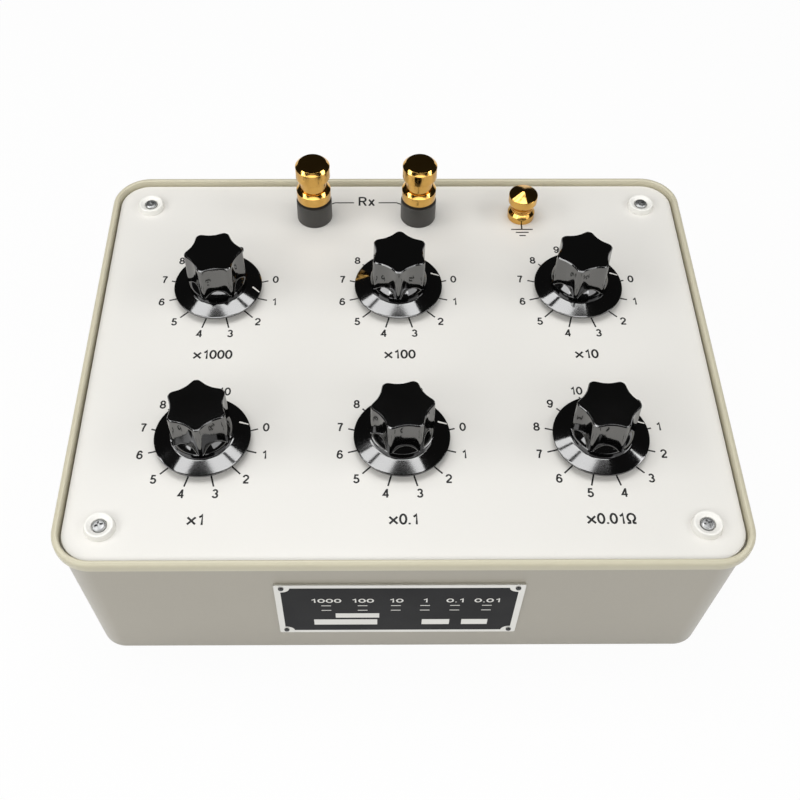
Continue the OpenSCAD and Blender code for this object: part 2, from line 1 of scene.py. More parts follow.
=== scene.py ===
# Decade resistance box: the finished look of every piece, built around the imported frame.
import math

import bmesh
import bpy
from mathutils import Matrix, Vector


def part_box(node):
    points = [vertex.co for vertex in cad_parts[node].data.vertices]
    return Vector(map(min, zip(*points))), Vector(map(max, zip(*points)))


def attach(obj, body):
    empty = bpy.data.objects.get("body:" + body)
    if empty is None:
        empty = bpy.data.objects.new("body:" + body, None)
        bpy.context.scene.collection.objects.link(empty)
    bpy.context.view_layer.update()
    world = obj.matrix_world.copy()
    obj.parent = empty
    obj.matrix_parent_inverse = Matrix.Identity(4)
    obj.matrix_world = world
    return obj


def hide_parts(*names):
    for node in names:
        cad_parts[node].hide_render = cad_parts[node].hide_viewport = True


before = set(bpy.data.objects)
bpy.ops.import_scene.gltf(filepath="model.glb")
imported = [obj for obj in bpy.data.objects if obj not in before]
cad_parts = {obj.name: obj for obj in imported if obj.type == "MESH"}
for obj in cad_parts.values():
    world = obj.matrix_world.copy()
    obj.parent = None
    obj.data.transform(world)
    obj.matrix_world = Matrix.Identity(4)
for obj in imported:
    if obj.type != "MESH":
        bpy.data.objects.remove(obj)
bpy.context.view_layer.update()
scene = bpy.context.scene
scene.view_settings.view_transform = "Standard"
MM = 0.001

# Camera
# A studio camera stands in front of the box and above it, a hair off square, and looks at a point
# on the panel. Focal length and optical axis are in pixels of the 800 by 800 image.
IMAGE = 800
FOCAL = 1127.1
AXIS_X = 375.2
AXIS_Y = 391.5
SENSOR = 36
VIEW_PITCH = math.radians(53.06)
VIEW_YAW = math.radians(-0.55)
VIEW_ROLL = math.radians(0.31)
VIEW_TARGET = Vector((-10.9, -23.12, 82)) * MM
VIEW_DISTANCE = 484.2 * MM

camera_data = bpy.data.cameras.new("studio_camera")
camera_data.sensor_width = SENSOR
camera_data.lens = FOCAL / IMAGE * SENSOR
camera_data.shift_x = 0.5 - AXIS_X / IMAGE
camera_data.shift_y = AXIS_Y / IMAGE - 0.5
camera_turn = Matrix.Rotation(VIEW_YAW, 4, "Z") @ Matrix.Rotation(math.pi / 2 - VIEW_PITCH, 4, "X")
camera_turn = camera_turn @ Matrix.Rotation(VIEW_ROLL, 4, "Z")
camera_place = Matrix.Translation(VIEW_TARGET) @ camera_turn
camera = bpy.data.objects.new("studio_camera", camera_data)
camera.matrix_world = camera_place @ Matrix.Translation((0, 0, VIEW_DISTANCE))
scene.collection.objects.link(camera)
scene.camera = camera


# Studio
# A white floor in a dark room. Three long lamp bars hang side by side over the box and draw the bright
# strips on the knob skirts, three boxes in front light the flutes, the ledges and the brass, and a
# small box fills each side.
FLOOR_SIZE = 8.0
FLOOR_DROP = 0.0002
FLOOR_PAINT = (0.85, 0.85, 0.84, 1)
FLOOR_GLOW = 0.95
AMBIENT = 0.016
AMBIENT_TINT = (1.0, 0.985, 0.96, 1)
LIGHT_TARGET = Vector((0, 0, 82)) * MM
# Azimuth and elevation in degrees, distance, width and depth in metres, radiance, and shift along X
LAMPS = {
    "bar_near": (180, 88.9, 1.10, 1.0, 0.177, 4.3, -0.14),
    "bar_middle": (180, 77.1, 1.13, 1.0, 0.19, 4.3, -0.14),
    "bar_far": (180, 66.0, 1.20, 1.0, 0.153, 4.3, -0.14),
    "box_front": (0, 43.5, 1.2, 1.6, 0.37, 2.5, 0.0),
    "box_front_left": (-55, 30, 1.2, 0.8, 0.47, 3.1, 0.0),
    "box_front_right": (55, 30, 1.2, 0.8, 0.47, 1.6, 0.0),
    "box_left": (-88, 40, 0.8, 0.3, 0.2, 5.3, 0.0),
    "box_right": (88, 40, 0.8, 0.3, 0.2, 5.3, 0.0)}


def softbox(name, azimuth, elevation, distance, width, depth, radiance, shift):
    """Area lamp round the panel's middle: azimuth 0 is the front and 90 the right."""
    a = math.radians(azimuth)
    e = math.radians(elevation)
    away = Vector((math.sin(a) * math.cos(e), -math.cos(a) * math.cos(e), math.sin(e)))
    data = bpy.data.lights.new(name, "AREA")
    data.shape = "RECTANGLE"
    data.size = width
    data.size_y = depth
    data.energy = radiance * math.pi * width * depth
    lamp = bpy.data.objects.new(name, data)
    lamp.location = LIGHT_TARGET + away * distance + Vector((shift, 0, 0))
    lamp.rotation_mode = "QUATERNION"
    lamp.rotation_quaternion = (-away).to_track_quat("-Z", "Y")
    scene.collection.objects.link(lamp)


for name, setting in LAMPS.items():
    softbox(name, *setting)


def add(tree, kind, inputs=None, **settings):
    """New node in a tree: settings are its properties, and inputs are values or sockets to link."""
    made = tree.nodes.new(kind)
    for name, value in settings.items():
        setattr(made, name, value)
    for key, value in (inputs or {}).items():
        if isinstance(value, bpy.types.NodeSocket):
            tree.links.new(value, made.inputs[key])
        else:
            made.inputs[key].default_value = value
    return made


def calc(tree, operation, *values):
    """Output of a math node with these values."""
    return add(tree, "ShaderNodeMath", dict(enumerate(values)), operation=operation).outputs[0]


world = bpy.data.worlds.new("studio")
world.use_nodes = True
world.node_tree.nodes["Background"].inputs["Color"].default_value = AMBIENT_TINT
world.node_tree.nodes["Background"].inputs["Strength"].default_value = AMBIENT
scene.world = world

floor_material = bpy.data.materials.new("floor_white")
floor_material.use_nodes = True
tree = floor_material.node_tree
tree.nodes.clear()
ray = add(tree, "ShaderNodeLightPath").outputs
seen = calc(tree, "MAXIMUM", ray["Is Camera Ray"], ray["Is Glossy Ray"])
seen = calc(tree, "MAXIMUM", seen, ray["Is Transmission Ray"])
paint = add(tree, "ShaderNodeBsdfDiffuse", {"Color": FLOOR_PAINT})
glow = add(tree, "ShaderNodeEmission", {"Color": (1, 1, 1, 1), "Strength": 1.0})
mixed = add(tree, "ShaderNodeMixShader", {0: calc(tree, "MULTIPLY", seen, FLOOR_GLOW),
                                         1: paint.outputs[0], 2: glow.outputs[0]})
add(tree, "ShaderNodeOutputMaterial", {"Surface": mixed.outputs[0]})
half = FLOOR_SIZE / 2
floor_corners = [(-half, -half), (half, -half), (half, half), (-half, half)]
floor_mesh = bpy.data.meshes.new("studio_floor")
floor_mesh.from_pydata([(x, y, -FLOOR_DROP) for x, y in floor_corners], [], [(0, 1, 2, 3)])
floor_mesh.materials.append(floor_material)
studio_floor = bpy.data.objects.new("studio_floor", floor_mesh)
scene.collection.objects.link(studio_floor)


# Case tub
# One deep tub of warm grey moulded plastic: drafted walls, large round corners and a rolled bead
# for a rim, with a ledge inside for the panel and a round post under each panel screw.
tub_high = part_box("case_tub")[1] / MM
panel_low, panel_high = (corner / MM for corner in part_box("front_panel"))
CASE_HALF_W = tub_high.x
CASE_HALF_D = tub_high.y
CASE_H = tub_high.z
PANEL_TOP = panel_high.z
PANEL_UNDER = panel_low.z
CORNER_R = 17
RIM_T = 2.7
RIM_H = 5
LIP = 2
LEDGE_W = 1.6
FLOOR_T = 3
FLOOR_RING_IN = 15
DRAFT = math.radians(2.3)
BASE_BEVEL = 1
SCREW_X = 119.6
SCREW_Y = 90
POST_R = 6
POST_HOLE_R = 1.6
POST_HOLE_DEPTH = 11
SMOOTH_ANGLE = math.radians(28)
WELD = 0.001
ORIGIN = (0, 0, 0)


def softened(corners, steps=6):
    """Open outline in mm: a corner (x, y) stays sharp, and a corner (x, y, radius) is rounded."""
    outline = []
    for k, (x, y, *radius) in enumerate(corners):
        here = Vector((x, y))
        if not radius:
            outline.append(here)
            continue
        back = Vector(corners[k - 1][:2]) - here
        ahead = Vector(corners[k + 1][:2]) - here
        half_angle = back.angle(ahead) / 2
        back.normalize()
        ahead.normalize()
        reach = radius[0] / math.tan(half_angle)
        centre = here + (back + ahead).normalized() * radius[0] / math.sin(half_angle)
        start = here + back * reach - centre
        end = here + ahead * reach - centre
        sweep = math.pi - 2 * half_angle
        for j in range(steps + 1):
            t = j / steps
            arm = start * math.sin((1 - t) * sweep) + end * math.sin(t * sweep)
            outline.append(centre + arm / math.sin(sweep))
    return [tuple(point) for point in outline]


def finished(mesh):
    """Smooth-shaded mesh with its normals outwards and its real edges kept sharp."""
    work = bmesh.new()
    work.from_mesh(mesh)
    bmesh.ops.remove_doubles(work, verts=work.verts, dist=WELD * MM)
    bmesh.ops.recalc_face_normals(work, faces=work.faces)
    work.to_mesh(mesh)
    work.free()
    mesh.shade_smooth()
    mesh.set_sharp_from_angle(angle=SMOOTH_ANGLE)
    return mesh


def mesh_of(name, points, faces):
    """Mesh from points in mm."""
    mesh = bpy.data.meshes.new(name)
    mesh.from_pydata([Vector(p) * MM for p in points], [], faces)
    return mesh


def round_loop(half_w, half_d, radius, steps=20):
    """Points of a round-cornered rectangle, anticlockwise from its right side."""
    loop = []
    for corner, (side_x, side_y) in enumerate(((1, 1), (-1, 1), (-1, -1), (1, -1))):
        for k in range(steps + 1):
            a = math.pi / 2 * (corner + k / steps)
            loop.append((side_x * (half_w - radius) + radius * math.cos(a),
                         side_y * (half_d - radius) + radius * math.sin(a)))
    return loop


def lofted(name, section, half_w, half_d, corner):
    """Solid whose outline (inset, height) runs round a round-cornered rectangle, closed at both ends."""
    rings = [round_loop(half_w - inset, half_d - inset, corner - inset) for inset, z in section]
    n = len(rings[0])
    points = [(x, y, z) for ring, (inset, z) in zip(rings, section) for x, y in ring]
    faces = [tuple(reversed(range(n))), tuple(range(len(points) - n, len(points)))]
    for k in range(len(section) - 1):
        for j in range(n):
            a = k * n + j
            b = k * n + (j + 1) % n
            faces.append((a, b, b + n, a + n))
    return mesh_of(name, points, faces)


def turned(name, outline, steps=128):
    """Turned piece: the outline (radius, height) spun round Z, with a UV map round and along it."""
    turns = [math.tau * j / steps for j in range(steps)]
    points = [(r * math.cos(a), r * math.sin(a), z) for r, z in outline for a in turns]
    along = [0.0]
    for a, b in zip(outline, outline[1:]):
        along.append(along[-1] + math.dist(a, b))
    faces = []
    places = []
    for k in range(len(outline) - 1):
        low = k * steps
        high = low + steps
        for j in range(steps):
            side = (j + 1) % steps
            faces.append((low + j, low + side, high + side, high + j))
            places += [(j / steps, along[k]), ((j + 1) / steps, along[k]),
                       ((j + 1) / steps, along[k + 1]), (j / steps, along[k + 1])]
    mesh = mesh_of(name, points, faces)
    layer = mesh.uv_layers.new(name="turning")
    for loop, place in zip(layer.uv, places):
        loop.vector = place
    return mesh


def joined(name, meshes):
    """One mesh from several (mesh, place in mm) pairs."""
    work = bmesh.new()
    for mesh, place in meshes:
        part = mesh.copy()
        part.transform(Matrix.Translation(Vector(place) * MM))
        work.from_mesh(part)
        bpy.data.meshes.remove(part)
    made = bpy.data.meshes.new(name)
    work.to_mesh(made)
    work.free()
    return made


def place_piece(name, mesh, material, body, slot, *nodes):
    """Finished piece with its place in its mesh: it rides on a body and stands for these CAD nodes."""
    mesh = finished(mesh)
    mesh.materials.clear()
    mesh.materials.append(material)
    made = bpy.data.objects.new(name, mesh)
    scene.collection.objects.link(made)
    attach(made, body)
    if nodes:
        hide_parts(*nodes)


def colour(red, green, blue):
    """Linear colour from the 0 to 255 values of a display."""
    parts = [c / 255 for c in (red, green, blue)]
    return (*[c / 12.92 if c <= 0.04045 else ((c + 0.055) / 1.055) ** 2.4 for c in parts], 1)


def mix_colours(tree, share, first, second, blend_type="MIX"):
    """Output of a colour mix node."""
    inputs = {0: share, 6: first, 7: second}
    return add(tree, "ShaderNodeMix", inputs, data_type="RGBA", blend_type=blend_type).outputs[2]


def spread(tree, value, low, high, to_low, to_high):
    """Output of a map range node, which spreads low to high over to_low to to_high."""
    return add(tree, "ShaderNodeMapRange", {0: value, 1: low, 2: high, 3: to_low, 4: to_high}).outputs[0]


def shader_group(name, inputs):
    """Shader node group with these named inputs, which puts out a colour, a roughness and a normal."""
    group = bpy.data.node_groups.new(name, "ShaderNodeTree")
    for label, value in inputs.items():
        kind = "NodeSocketColor" if isinstance(value, tuple) else "NodeSocketFloat"
        group.interface.new_socket(label, in_out="INPUT", socket_type=kind).default_value = value
    for label, kind in (("Colour", "Color"), ("Roughness", "Float"), ("Normal", "Vector")):
        group.interface.new_socket(label, in_out="OUTPUT", socket_type="NodeSocket" + kind)
    return group, group.nodes.new("NodeGroupInput").outputs


# Moulded or painted surface: slow blotches of a second colour, uneven gloss and a fine peel
NOISE_LOW = 0.3
NOISE_HIGH = 0.7
SPECK_SHARE = 0.35
BLOTCH_SHARE = 0.65
PEEL_DEPTH = 0.1
grain, given = shader_group("surface_grain", {
    "Colour": (0.8, 0.8, 0.8, 1), "Blotch Colour": (0.7, 0.7, 0.7, 1), "Blotch Scale": 30.0,
    "Grain Scale": 900.0, "Gloss Low": 0.35, "Gloss High": 0.5, "Peel": 0.1})
coords = add(grain, "ShaderNodeTexCoord").outputs["Object"]
blotch = add(grain, "ShaderNodeTexNoise", {"Vector": coords, "Scale": given["Blotch Scale"], "Detail": 3.0})
speck = add(grain, "ShaderNodeTexNoise", {"Vector": coords, "Scale": given["Grain Scale"], "Detail": 2.0})
blend = calc(grain, "MULTIPLY_ADD", speck.outputs[0], SPECK_SHARE,
             calc(grain, "MULTIPLY", blotch.outputs[0], BLOTCH_SHARE))
peel = add(grain, "ShaderNodeBump", {"Strength": given["Peel"], "Distance": PEEL_DEPTH * MM,
                                     "Height": speck.outputs[0]})
add(grain, "NodeGroupOutput", {
    "Colour": mix_colours(grain, blend, given["Colour"], given["Blotch Colour"]),
    "Roughness": spread(grain, blend, NOISE_LOW, NOISE_HIGH, given["Gloss Low"], given["Gloss High"]),
    "Normal": peel.outputs[0]})


def surfaced(name, group, values, plain):
    """Material with a shader group on its colour, gloss and normal; plain values go on the shader itself."""
    material = bpy.data.materials.new(name)
    material.use_nodes = True
    tree = material.node_tree
    shader = tree.nodes["Principled BSDF"]
    surface = add(tree, "ShaderNodeGroup", values, node_tree=group)
    for output, socket in (("Colour", "Base Color"), ("Roughness", "Roughness"), ("Normal", "Normal")):
        tree.links.new(surface.outputs[output], shader.inputs[socket])
    for socket, value in plain.items():
        shader.inputs[socket.replace("_", " ")].default_value = value
    return material


def moulded(name, main, blotches, blotch_scale, grain_scale, gloss, peel, **plain):
    """Material of a moulded, painted or sprayed piece."""
    values = {"Colour": main, "Blotch Colour": blotches, "Blotch Scale": blotch_scale,
              "Grain Scale": grain_scale, "Gloss Low": gloss[0], "Gloss High": gloss[1], "Peel": peel}
    return surfaced(name, grain, values, plain)


rim_foot = CASE_H - RIM_H
wall_foot = LIP + rim_foot * math.tan(DRAFT)
ledge_in = RIM_T + LEDGE_W
floor_in = ledge_in + (PANEL_UNDER - FLOOR_T) * math.tan(DRAFT)
tub_section = softened([
    (wall_foot + BASE_BEVEL, 0), (wall_foot, BASE_BEVEL, 0.6), (LIP, rim_foot, 0.3), (0, rim_foot, 0.9),
    (0, CASE_H, 1.9), (RIM_T, CASE_H, 0.7), (RIM_T, PANEL_UNDER, 0.2), (ledge_in, PANEL_UNDER, 0.3),
    (floor_in, FLOOR_T, 3), (FLOOR_RING_IN, FLOOR_T)])
tub_wall = lofted("tub_wall", tub_section, CASE_HALF_W, CASE_HALF_D, CORNER_R)
hole_foot = PANEL_UNDER - POST_HOLE_DEPTH
screw_post = turned("screw_post", softened([
    (0, hole_foot), (POST_HOLE_R, hole_foot), (POST_HOLE_R, PANEL_UNDER, 0.2), (POST_R, PANEL_UNDER, 0.3),
    (POST_R, FLOOR_T)]), steps=48)
screw_places = [(x, y, 0) for x in (-SCREW_X, SCREW_X) for y in (-SCREW_Y, SCREW_Y)]
tub_shell = joined("tub_shell", [(tub_wall, ORIGIN)] + [(screw_post, place) for place in screw_places])
case_shell = moulded("case_shell", colour(214, 208, 183), colour(206, 200, 176), 14, 700, (0.29, 0.33), 0.02)
# The rim is bare smooth plastic and the wall below it has a darker spark-grained skin
WALL_TONE = (0.64, 0.63, 0.68, 1)
TONE_REACH = 0.2
tree = case_shell.node_tree
base_colour = tree.nodes["Principled BSDF"].inputs["Base Color"]
coords = add(tree, "ShaderNodeTexCoord").outputs["Object"]
height = add(tree, "ShaderNodeSeparateXYZ", {0: coords}).outputs[2]
below_rim = calc(tree, "LESS_THAN", height, (rim_foot + TONE_REACH) * MM)
toned = mix_colours(tree, below_rim, base_colour.links[0].from_socket, WALL_TONE, "MULTIPLY")
tree.links.new(toned, base_colour)
place_piece("tub_shell", tub_shell, case_shell, "case", "case_shell", "case_tub")


# Switches
# Under each dial hangs a rotary switch: a brass bush and plated index plate at the panel, two
# pillars, a brown laminate deck with turned brass studs, and wound bobbins below. All closed in.
def metal(name, main, blotches, gloss):
    """Material of a plain metal piece."""
    return moulded(name, main, blotches, 120, 2500, gloss, 0.05, Metallic=1.0)


turned_brass = metal("turned_brass", colour(205, 165, 90), colour(180, 138, 66), (0.25, 0.4))
zinc_steel = metal("zinc_steel", colour(196, 197, 196), colour(170, 171, 172), (0.28, 0.42))
bar_copper = metal("bar_copper", colour(205, 130, 90), colour(170, 96, 62), (0.3, 0.5))
spindle_steel = metal("spindle_steel", colour(190, 190, 188), colour(165, 165, 165), (0.2, 0.32))
arm_bronze = metal("arm_bronze", colour(200, 150, 80), colour(172, 120, 58), (0.28, 0.4))
deck_phenolic = moulded("deck_phenolic", colour(120, 72, 38), colour(92, 52, 26), 260, 1800,
                        (0.4, 0.55), 0.12)
winding_enamel = moulded("winding_enamel", colour(132, 52, 30), colour(104, 36, 20), 400, 3200,
                         (0.3, 0.45), 0.3)
insulator_black = moulded("insulator_black", colour(64, 62, 59), colour(52, 51, 48), 90, 2200,
                          (0.36, 0.46), 0.12)
INNER_FINISH = {
    "index_plates": zinc_steel, "bush_nuts": zinc_steel, "deck_screws": zinc_steel, "stud_nuts": zinc_steel,
    "spindle_bushes": turned_brass, "deck_pillars": turned_brass, "contact_studs": turned_brass,
    "collector_rings": turned_brass, "post_studs": turned_brass, "switch_decks": deck_phenolic,
    "link_bars": bar_copper, "lead_straps": bar_copper, "post_washers": insulator_black}
DECADES = ["x1000", "x100", "x10", "x1", "x0_1", "x0_01"]
for decade in DECADES:
    INNER_FINISH["resistors_" + decade] = winding_enamel
    INNER_FINISH["spindle_" + decade] = spindle_steel
    INNER_FINISH["contact_arm_" + decade] = arm_bronze
for node, material in INNER_FINISH.items():
    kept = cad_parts[node].data
    kept.materials.clear()
    kept.materials.append(material)


# Front panel
# A stiff aluminium sheet sprayed white that lies on the tub's ledge, a little below the rim. Its
# edges are broken by hand, so they carry a small round.
PANEL_R = CORNER_R - (CASE_HALF_W - panel_high.x)
PANEL_BAND = 4
EDGE_ROUND = 0.4
panel_section = softened([(PANEL_BAND, PANEL_UNDER), (0, PANEL_UNDER, EDGE_ROUND), (0, PANEL_TOP, EDGE_ROUND),
                          (PANEL_BAND, PANEL_TOP)])
panel_sheet = lofted("panel_sheet", panel_section, panel_high.x, panel_high.y, PANEL_R)
panel_white = moulded("panel_white", colour(236, 234, 229), colour(231, 229, 223), 8, 1100, (0.3, 0.42), 0.06)
place_piece("panel_sheet", panel_sheet, panel_white, "case", "panel_white", "front_panel")


# Panel legend
# Black silk-screen ink on the panel: a fan of eleven ticks and the step numbers round each dial, the
# multiplier below it, a bracket between the two posts and the common earth sign.
INK_T = 0.05
INK_LIFT = 0.004
LIFTS = 4
TICK_IN = 17
TICK_OUT = 23.1
TICK_W = 0.68
TICK_STEP = 30
POSITIONS = 11
NUMBER_R = 26.6
NUMBER_H = 4.1
MULTIPLIER_DROP = 37.7
MULTIPLIER_H = 4.85
LINE_W = 0.66
FIRST_TICK = {decade: 15 for decade in DECADES} | {"x0_01": 45}
MULTIPLIERS = {"x1000": "×1000", "x100": "×100", "x10": "×10", "x1": "×1", "x0_1": "×0.1",
               "x0_01": "×0.01Ω"}
POST_MARK = "Rx"
POST_MARK_H = 6.1
POST_MARK_PEN = 0.15
POST_MARK_X = -14.5
POST_MARK_Y = 93.9
BRACKET_Y = 92.9
BRACKET_END_Y = 90.6
BRACKET = [(-30, BRACKET_Y, -20.7, BRACKET_Y), (-34.5, BRACKET_END_Y, -30, BRACKET_Y),
           (-8.6, BRACKET_Y, 0.2, BRACKET_Y), (0.2, BRACKET_Y, 4.7, BRACKET_END_Y)]
EARTH_X = 60.3
EARTH_STEM_TOP = 78.6
EARTH_BARS = {74.4: 5.2, 72.4: 3.1, 70.3: 1.5}


def growing_tree(name, lengths, counts=()):
    """Geometry node tree with these named inputs, besides its geometry and its material."""
    tree = bpy.data.node_groups.new(name, "GeometryNodeTree")
    sockets = [("Geometry", "Geometry")] + [(label, "Int") for label in counts]
    sockets += [(label, "Float") for label in lengths] + [("Material", "Material")]
    for label, kind in sockets:
        tree.interface.new_socket(label, in_out="INPUT", socket_type="NodeSocket" + kind)
    tree.interface.new_socket("Geometry", in_out="OUTPUT", socket_type="NodeSocketGeometry")
    return tree, tree.nodes.new("NodeGroupInput").outputs


def close_tree(tree, given, geometry):
    """Ends a tree: instances are realized and take the material."""
    real = add(tree, "GeometryNodeRealizeInstances", {0: geometry})
    dressed = add(tree, "GeometryNodeSetMaterial", {0: real.outputs[0], "Material": given["Material"]})
    add(tree, "NodeGroupOutput", {0: dressed.outputs[0]})


def plain_mesh(holder, name):
    """The evaluated mesh of a working object, which is then removed."""
    bpy.context.view_layer.update()
    graph = bpy.context.evaluated_depsgraph_get()
    mesh = bpy.data.meshes.new_from_object(holder.evaluated_get(graph))
    mesh.name = name
    bpy.data.objects.remove(holder)
    return mesh


def grown(name, tree, base, material, **values):
    """Plain mesh that a tree grows from a base mesh, with the tree's inputs set by name."""
    values["material"] = material
    holder = bpy.data.objects.new(name, base)
    scene.collection.objects.link(holder)
    modifier = holder.modifiers.new("grow", "NODES")
    modifier.node_group = tree
    for item in tree.interface.items_tree:
        key = item.name.lower().replace(" ", "_")
        if item.in_out == "INPUT" and key in values:
            modifier[item.identifier] = values[key]
    return plain_mesh(holder, name)


tick_tree, given = growing_tree("tick_fan", [
    "First Angle", "Step Angle", "Inner Radius", "Outer Radius", "Width", "Thickness"], ["Count"])
points = add(tick_tree, "GeometryNodeMeshLine", {"Count": given["Count"], "Offset": ORIGIN})
length = calc(tick_tree, "SUBTRACT", given["Outer Radius"], given["Inner Radius"])
size = add(tick_tree, "ShaderNodeCombineXYZ", {0: length, 1: given["Width"], 2: given["Thickness"]})
tick = add(tick_tree, "GeometryNodeMeshCube", {"Size": size.outputs[0]})
both = calc(tick_tree, "ADD", given["Outer Radius"], given["Inner Radius"])
middle = calc(tick_tree, "MULTIPLY", both, 0.5)
lift = calc(tick_tree, "MULTIPLY", given["Thickness"], 0.5)
shift = add(tick_tree, "ShaderNodeCombineXYZ", {0: middle, 2: lift})
tick = add(tick_tree, "GeometryNodeTransform", {"Geometry": tick.outputs[0], "Translation": shift.outputs[0]})
index = add(tick_tree, "GeometryNodeInputIndex").outputs[0]
turn = calc(tick_tree, "MULTIPLY", index, given["Step Angle"])
angle = calc(tick_tree, "SUBTRACT", given["First Angle"], turn)
spin = add(tick_tree, "ShaderNodeCombineXYZ", {2: angle})
fan = add(tick_tree, "GeometryNodeInstanceOnPoints",
          {"Points": points.outputs[0], "Instance": tick.outputs[0], "Rotation": spin.outputs[0]})
close_tree(tick_tree, given, fan.outputs[0])


def arc(x, y, half_w, half_h, start, end, steps=14):
    """Points of a round stroke from one angle to another, in degrees."""
    angles = [math.radians(start + (end - start) * k / steps) for k in range(steps + 1)]
    return [(x + half_w * math.cos(a), y + half_h * math.sin(a)) for a in angles]


# Plain block lettering as pen strokes, one unit high: each sign has its width and its strokes
SIGNS = {
    "0": (0.52, [arc(0.26, 0.5, 0.25, 0.435, 0, 360, 32)]),
    "1": (0.44, [[(0.08, 0.72), (0.22, 0.8), (0.33, 0.96), (0.33, 0)]]),
    "2": (0.54, [arc(0.26, 0.68, 0.235, 0.255, 172, -32) + [(0.04, 0.1)], [(0.0, 0.065), (0.54, 0.065)]]),
    "3": (0.5, [arc(0.24, 0.715, 0.2, 0.22, 160, -90), arc(0.24, 0.285, 0.235, 0.22, 90, -165)]),
    "4": (0.56, [[(0.56, 0.29), (0.04, 0.29), (0.39, 0.94)], [(0.4, 1.0), (0.4, 0)]]),
    "5": (0.5, [[(0.47, 0.935), (0.14, 0.935), (0.065, 0.47)], arc(0.245, 0.325, 0.24, 0.26, 140, -162)]),
    "6": (0.52, [arc(0.265, 0.32, 0.235, 0.255, 0, 360, 24),
                 arc(0.285, 0.6, 0.21, 0.335, 28, 172) + [(0.03, 0.42), (0.03, 0.3)]]),
    "7": (0.52, [[(0.0, 0.935), (0.5, 0.935)], [(0.5, 0.95), (0.36, 0.7), (0.25, 0.36), (0.2, 0)]]),
    "8": (0.52, [arc(0.26, 0.72, 0.2, 0.215, 0, 360, 24), arc(0.26, 0.285, 0.24, 0.22, 0, 360, 24)]),
    "9": (0.52, [arc(0.255, 0.68, 0.235, 0.255, 0, 360, 24),
                 arc(0.235, 0.4, 0.21, 0.335, -152, -8) + [(0.49, 0.58), (0.49, 0.7)]]),
    ".": (0.13, [[(0.065, 0), (0.065, 0.14)]]),
    "×": (0.7, [[(0.02, 0.06), (0.68, 0.72)], [(0.02, 0.72), (0.68, 0.06)]]),
    "Ω": (0.72, [[(0.0, 0.065), (0.24, 0.065)], [(0.72, 0.065), (0.48, 0.065)],
                 [(0.22, 0.02)] + arc(0.36, 0.58, 0.31, 0.355, 244, -64, 28) + [(0.5, 0.02)]]),
    "R": (0.6, [[(0.065, 0), (0.065, 1.0)],
                [(0.065, 0.935)] + arc(0.36, 0.71, 0.2, 0.225, 90, -90) + [(0.065, 0.485)],
                [(0.34, 0.485), (0.58, 0)]]),
    "x": (0.48, [[(0.04, 0), (0.44, 0.7)], [(0.04, 0.7), (0.44, 0)]])}
SIGN_GAP = 0.19
PEN = 0.178


def stroke(points, width, low, high):
    """Flat bar of ink along a line of points, with mitred corners, in mm."""
    path = [Vector(p) for p in points]
    steps = [(b - a).normalized() for a, b in zip(path, path[1:])]
    sides = [Vector((-d.y, d.x)) for d in steps]
    first = sides[0]
    last = sides[-1]
    if (path[0] - path[-1]).length < 1e-6:
        first = last = (first + last) / (1 + first.dot(last))
    offsets = [first] + [(a + b) / max(1 + a.dot(b), 0.5) for a, b in zip(sides, sides[1:])] + [last]
    n = len(path)
    edge = [p + o * width / 2 for p, o in zip(path, offsets)]
    edge += [p - o * width / 2 for p, o in zip(path, offsets)]
    corners = [(p.x, p.y, z) for z in (low, high) for p in edge]
    faces = [(0, n, 3 * n, 2 * n), (n - 1, 3 * n - 1, 4 * n - 1, 2 * n - 1)]
    for k in range(n - 1):
        faces += [(k, k + 1, n + k + 1, n + k), (2 * n + k, 3 * n + k, 3 * n + k + 1, 2 * n + k + 1),
                  (k, 2 * n + k, 2 * n + k + 1, k + 1), (n + k, n + k + 1, 3 * n + k + 1, 3 * n + k)]
    return mesh_of("stroke", corners, faces)


def lettering(words, height, x, y, foot, widen=1.0, pen=PEN):
    """Ink strokes of a few signs of this height, their middle at x, y, standing on a foot height, in mm."""
    length = sum(SIGNS[sign][0] for sign in words) + SIGN_GAP * (len(words) - 1)
    strokes = []
    left = -length / 2
    for sign in words:
        wide, lines = SIGNS[sign]
        for line in lines:
            lift = INK_LIFT * (len(strokes) % LIFTS)
            spots = [(x + (left + px) * height * widen, y + (py - 0.5) * height) for px, py in line]
            strokes.append((stroke(spots, pen * height, foot, foot + INK_T + lift), ORIGIN))
        left += wide + SIGN_GAP
    return strokes


def prism(name, foot, top):
    """Solid between two matching loops of points, in mm."""
    n = len(foot)
    faces = [tuple(reversed(range(n))), tuple(range(n, 2 * n))]
    faces += [(k, (k + 1) % n, n + (k + 1) % n, n + k) for k in range(n)]
    return mesh_of(name, foot + top, faces)


def sheet_of(name, outline, low, high):
    """Flat sheet of an outline between two heights, in mm."""
    return prism(name, [(x, y, low) for x, y in outline], [(x, y, high) for x, y in outline])


def ink_line(x0, y0, x1, y1):
    """Ink bar between two points on the panel, in mm."""
    start = Vector((x0, y0))
    end = Vector((x1, y1))
    along = end - start
    side = Vector((-along.y, along.x)).normalized() * LINE_W / 2
    outline = [start - side, end - side, end + side, start + side]
    return sheet_of("ink_line", outline, PANEL_TOP, PANEL_TOP + INK_T)


def panel_place(node):
    """Place on the panel at the middle of a CAD node, in mm."""
    low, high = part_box(node)
    return ((low.x + high.x) / 2 / MM, (low.y + high.y) / 2 / MM, PANEL_TOP)


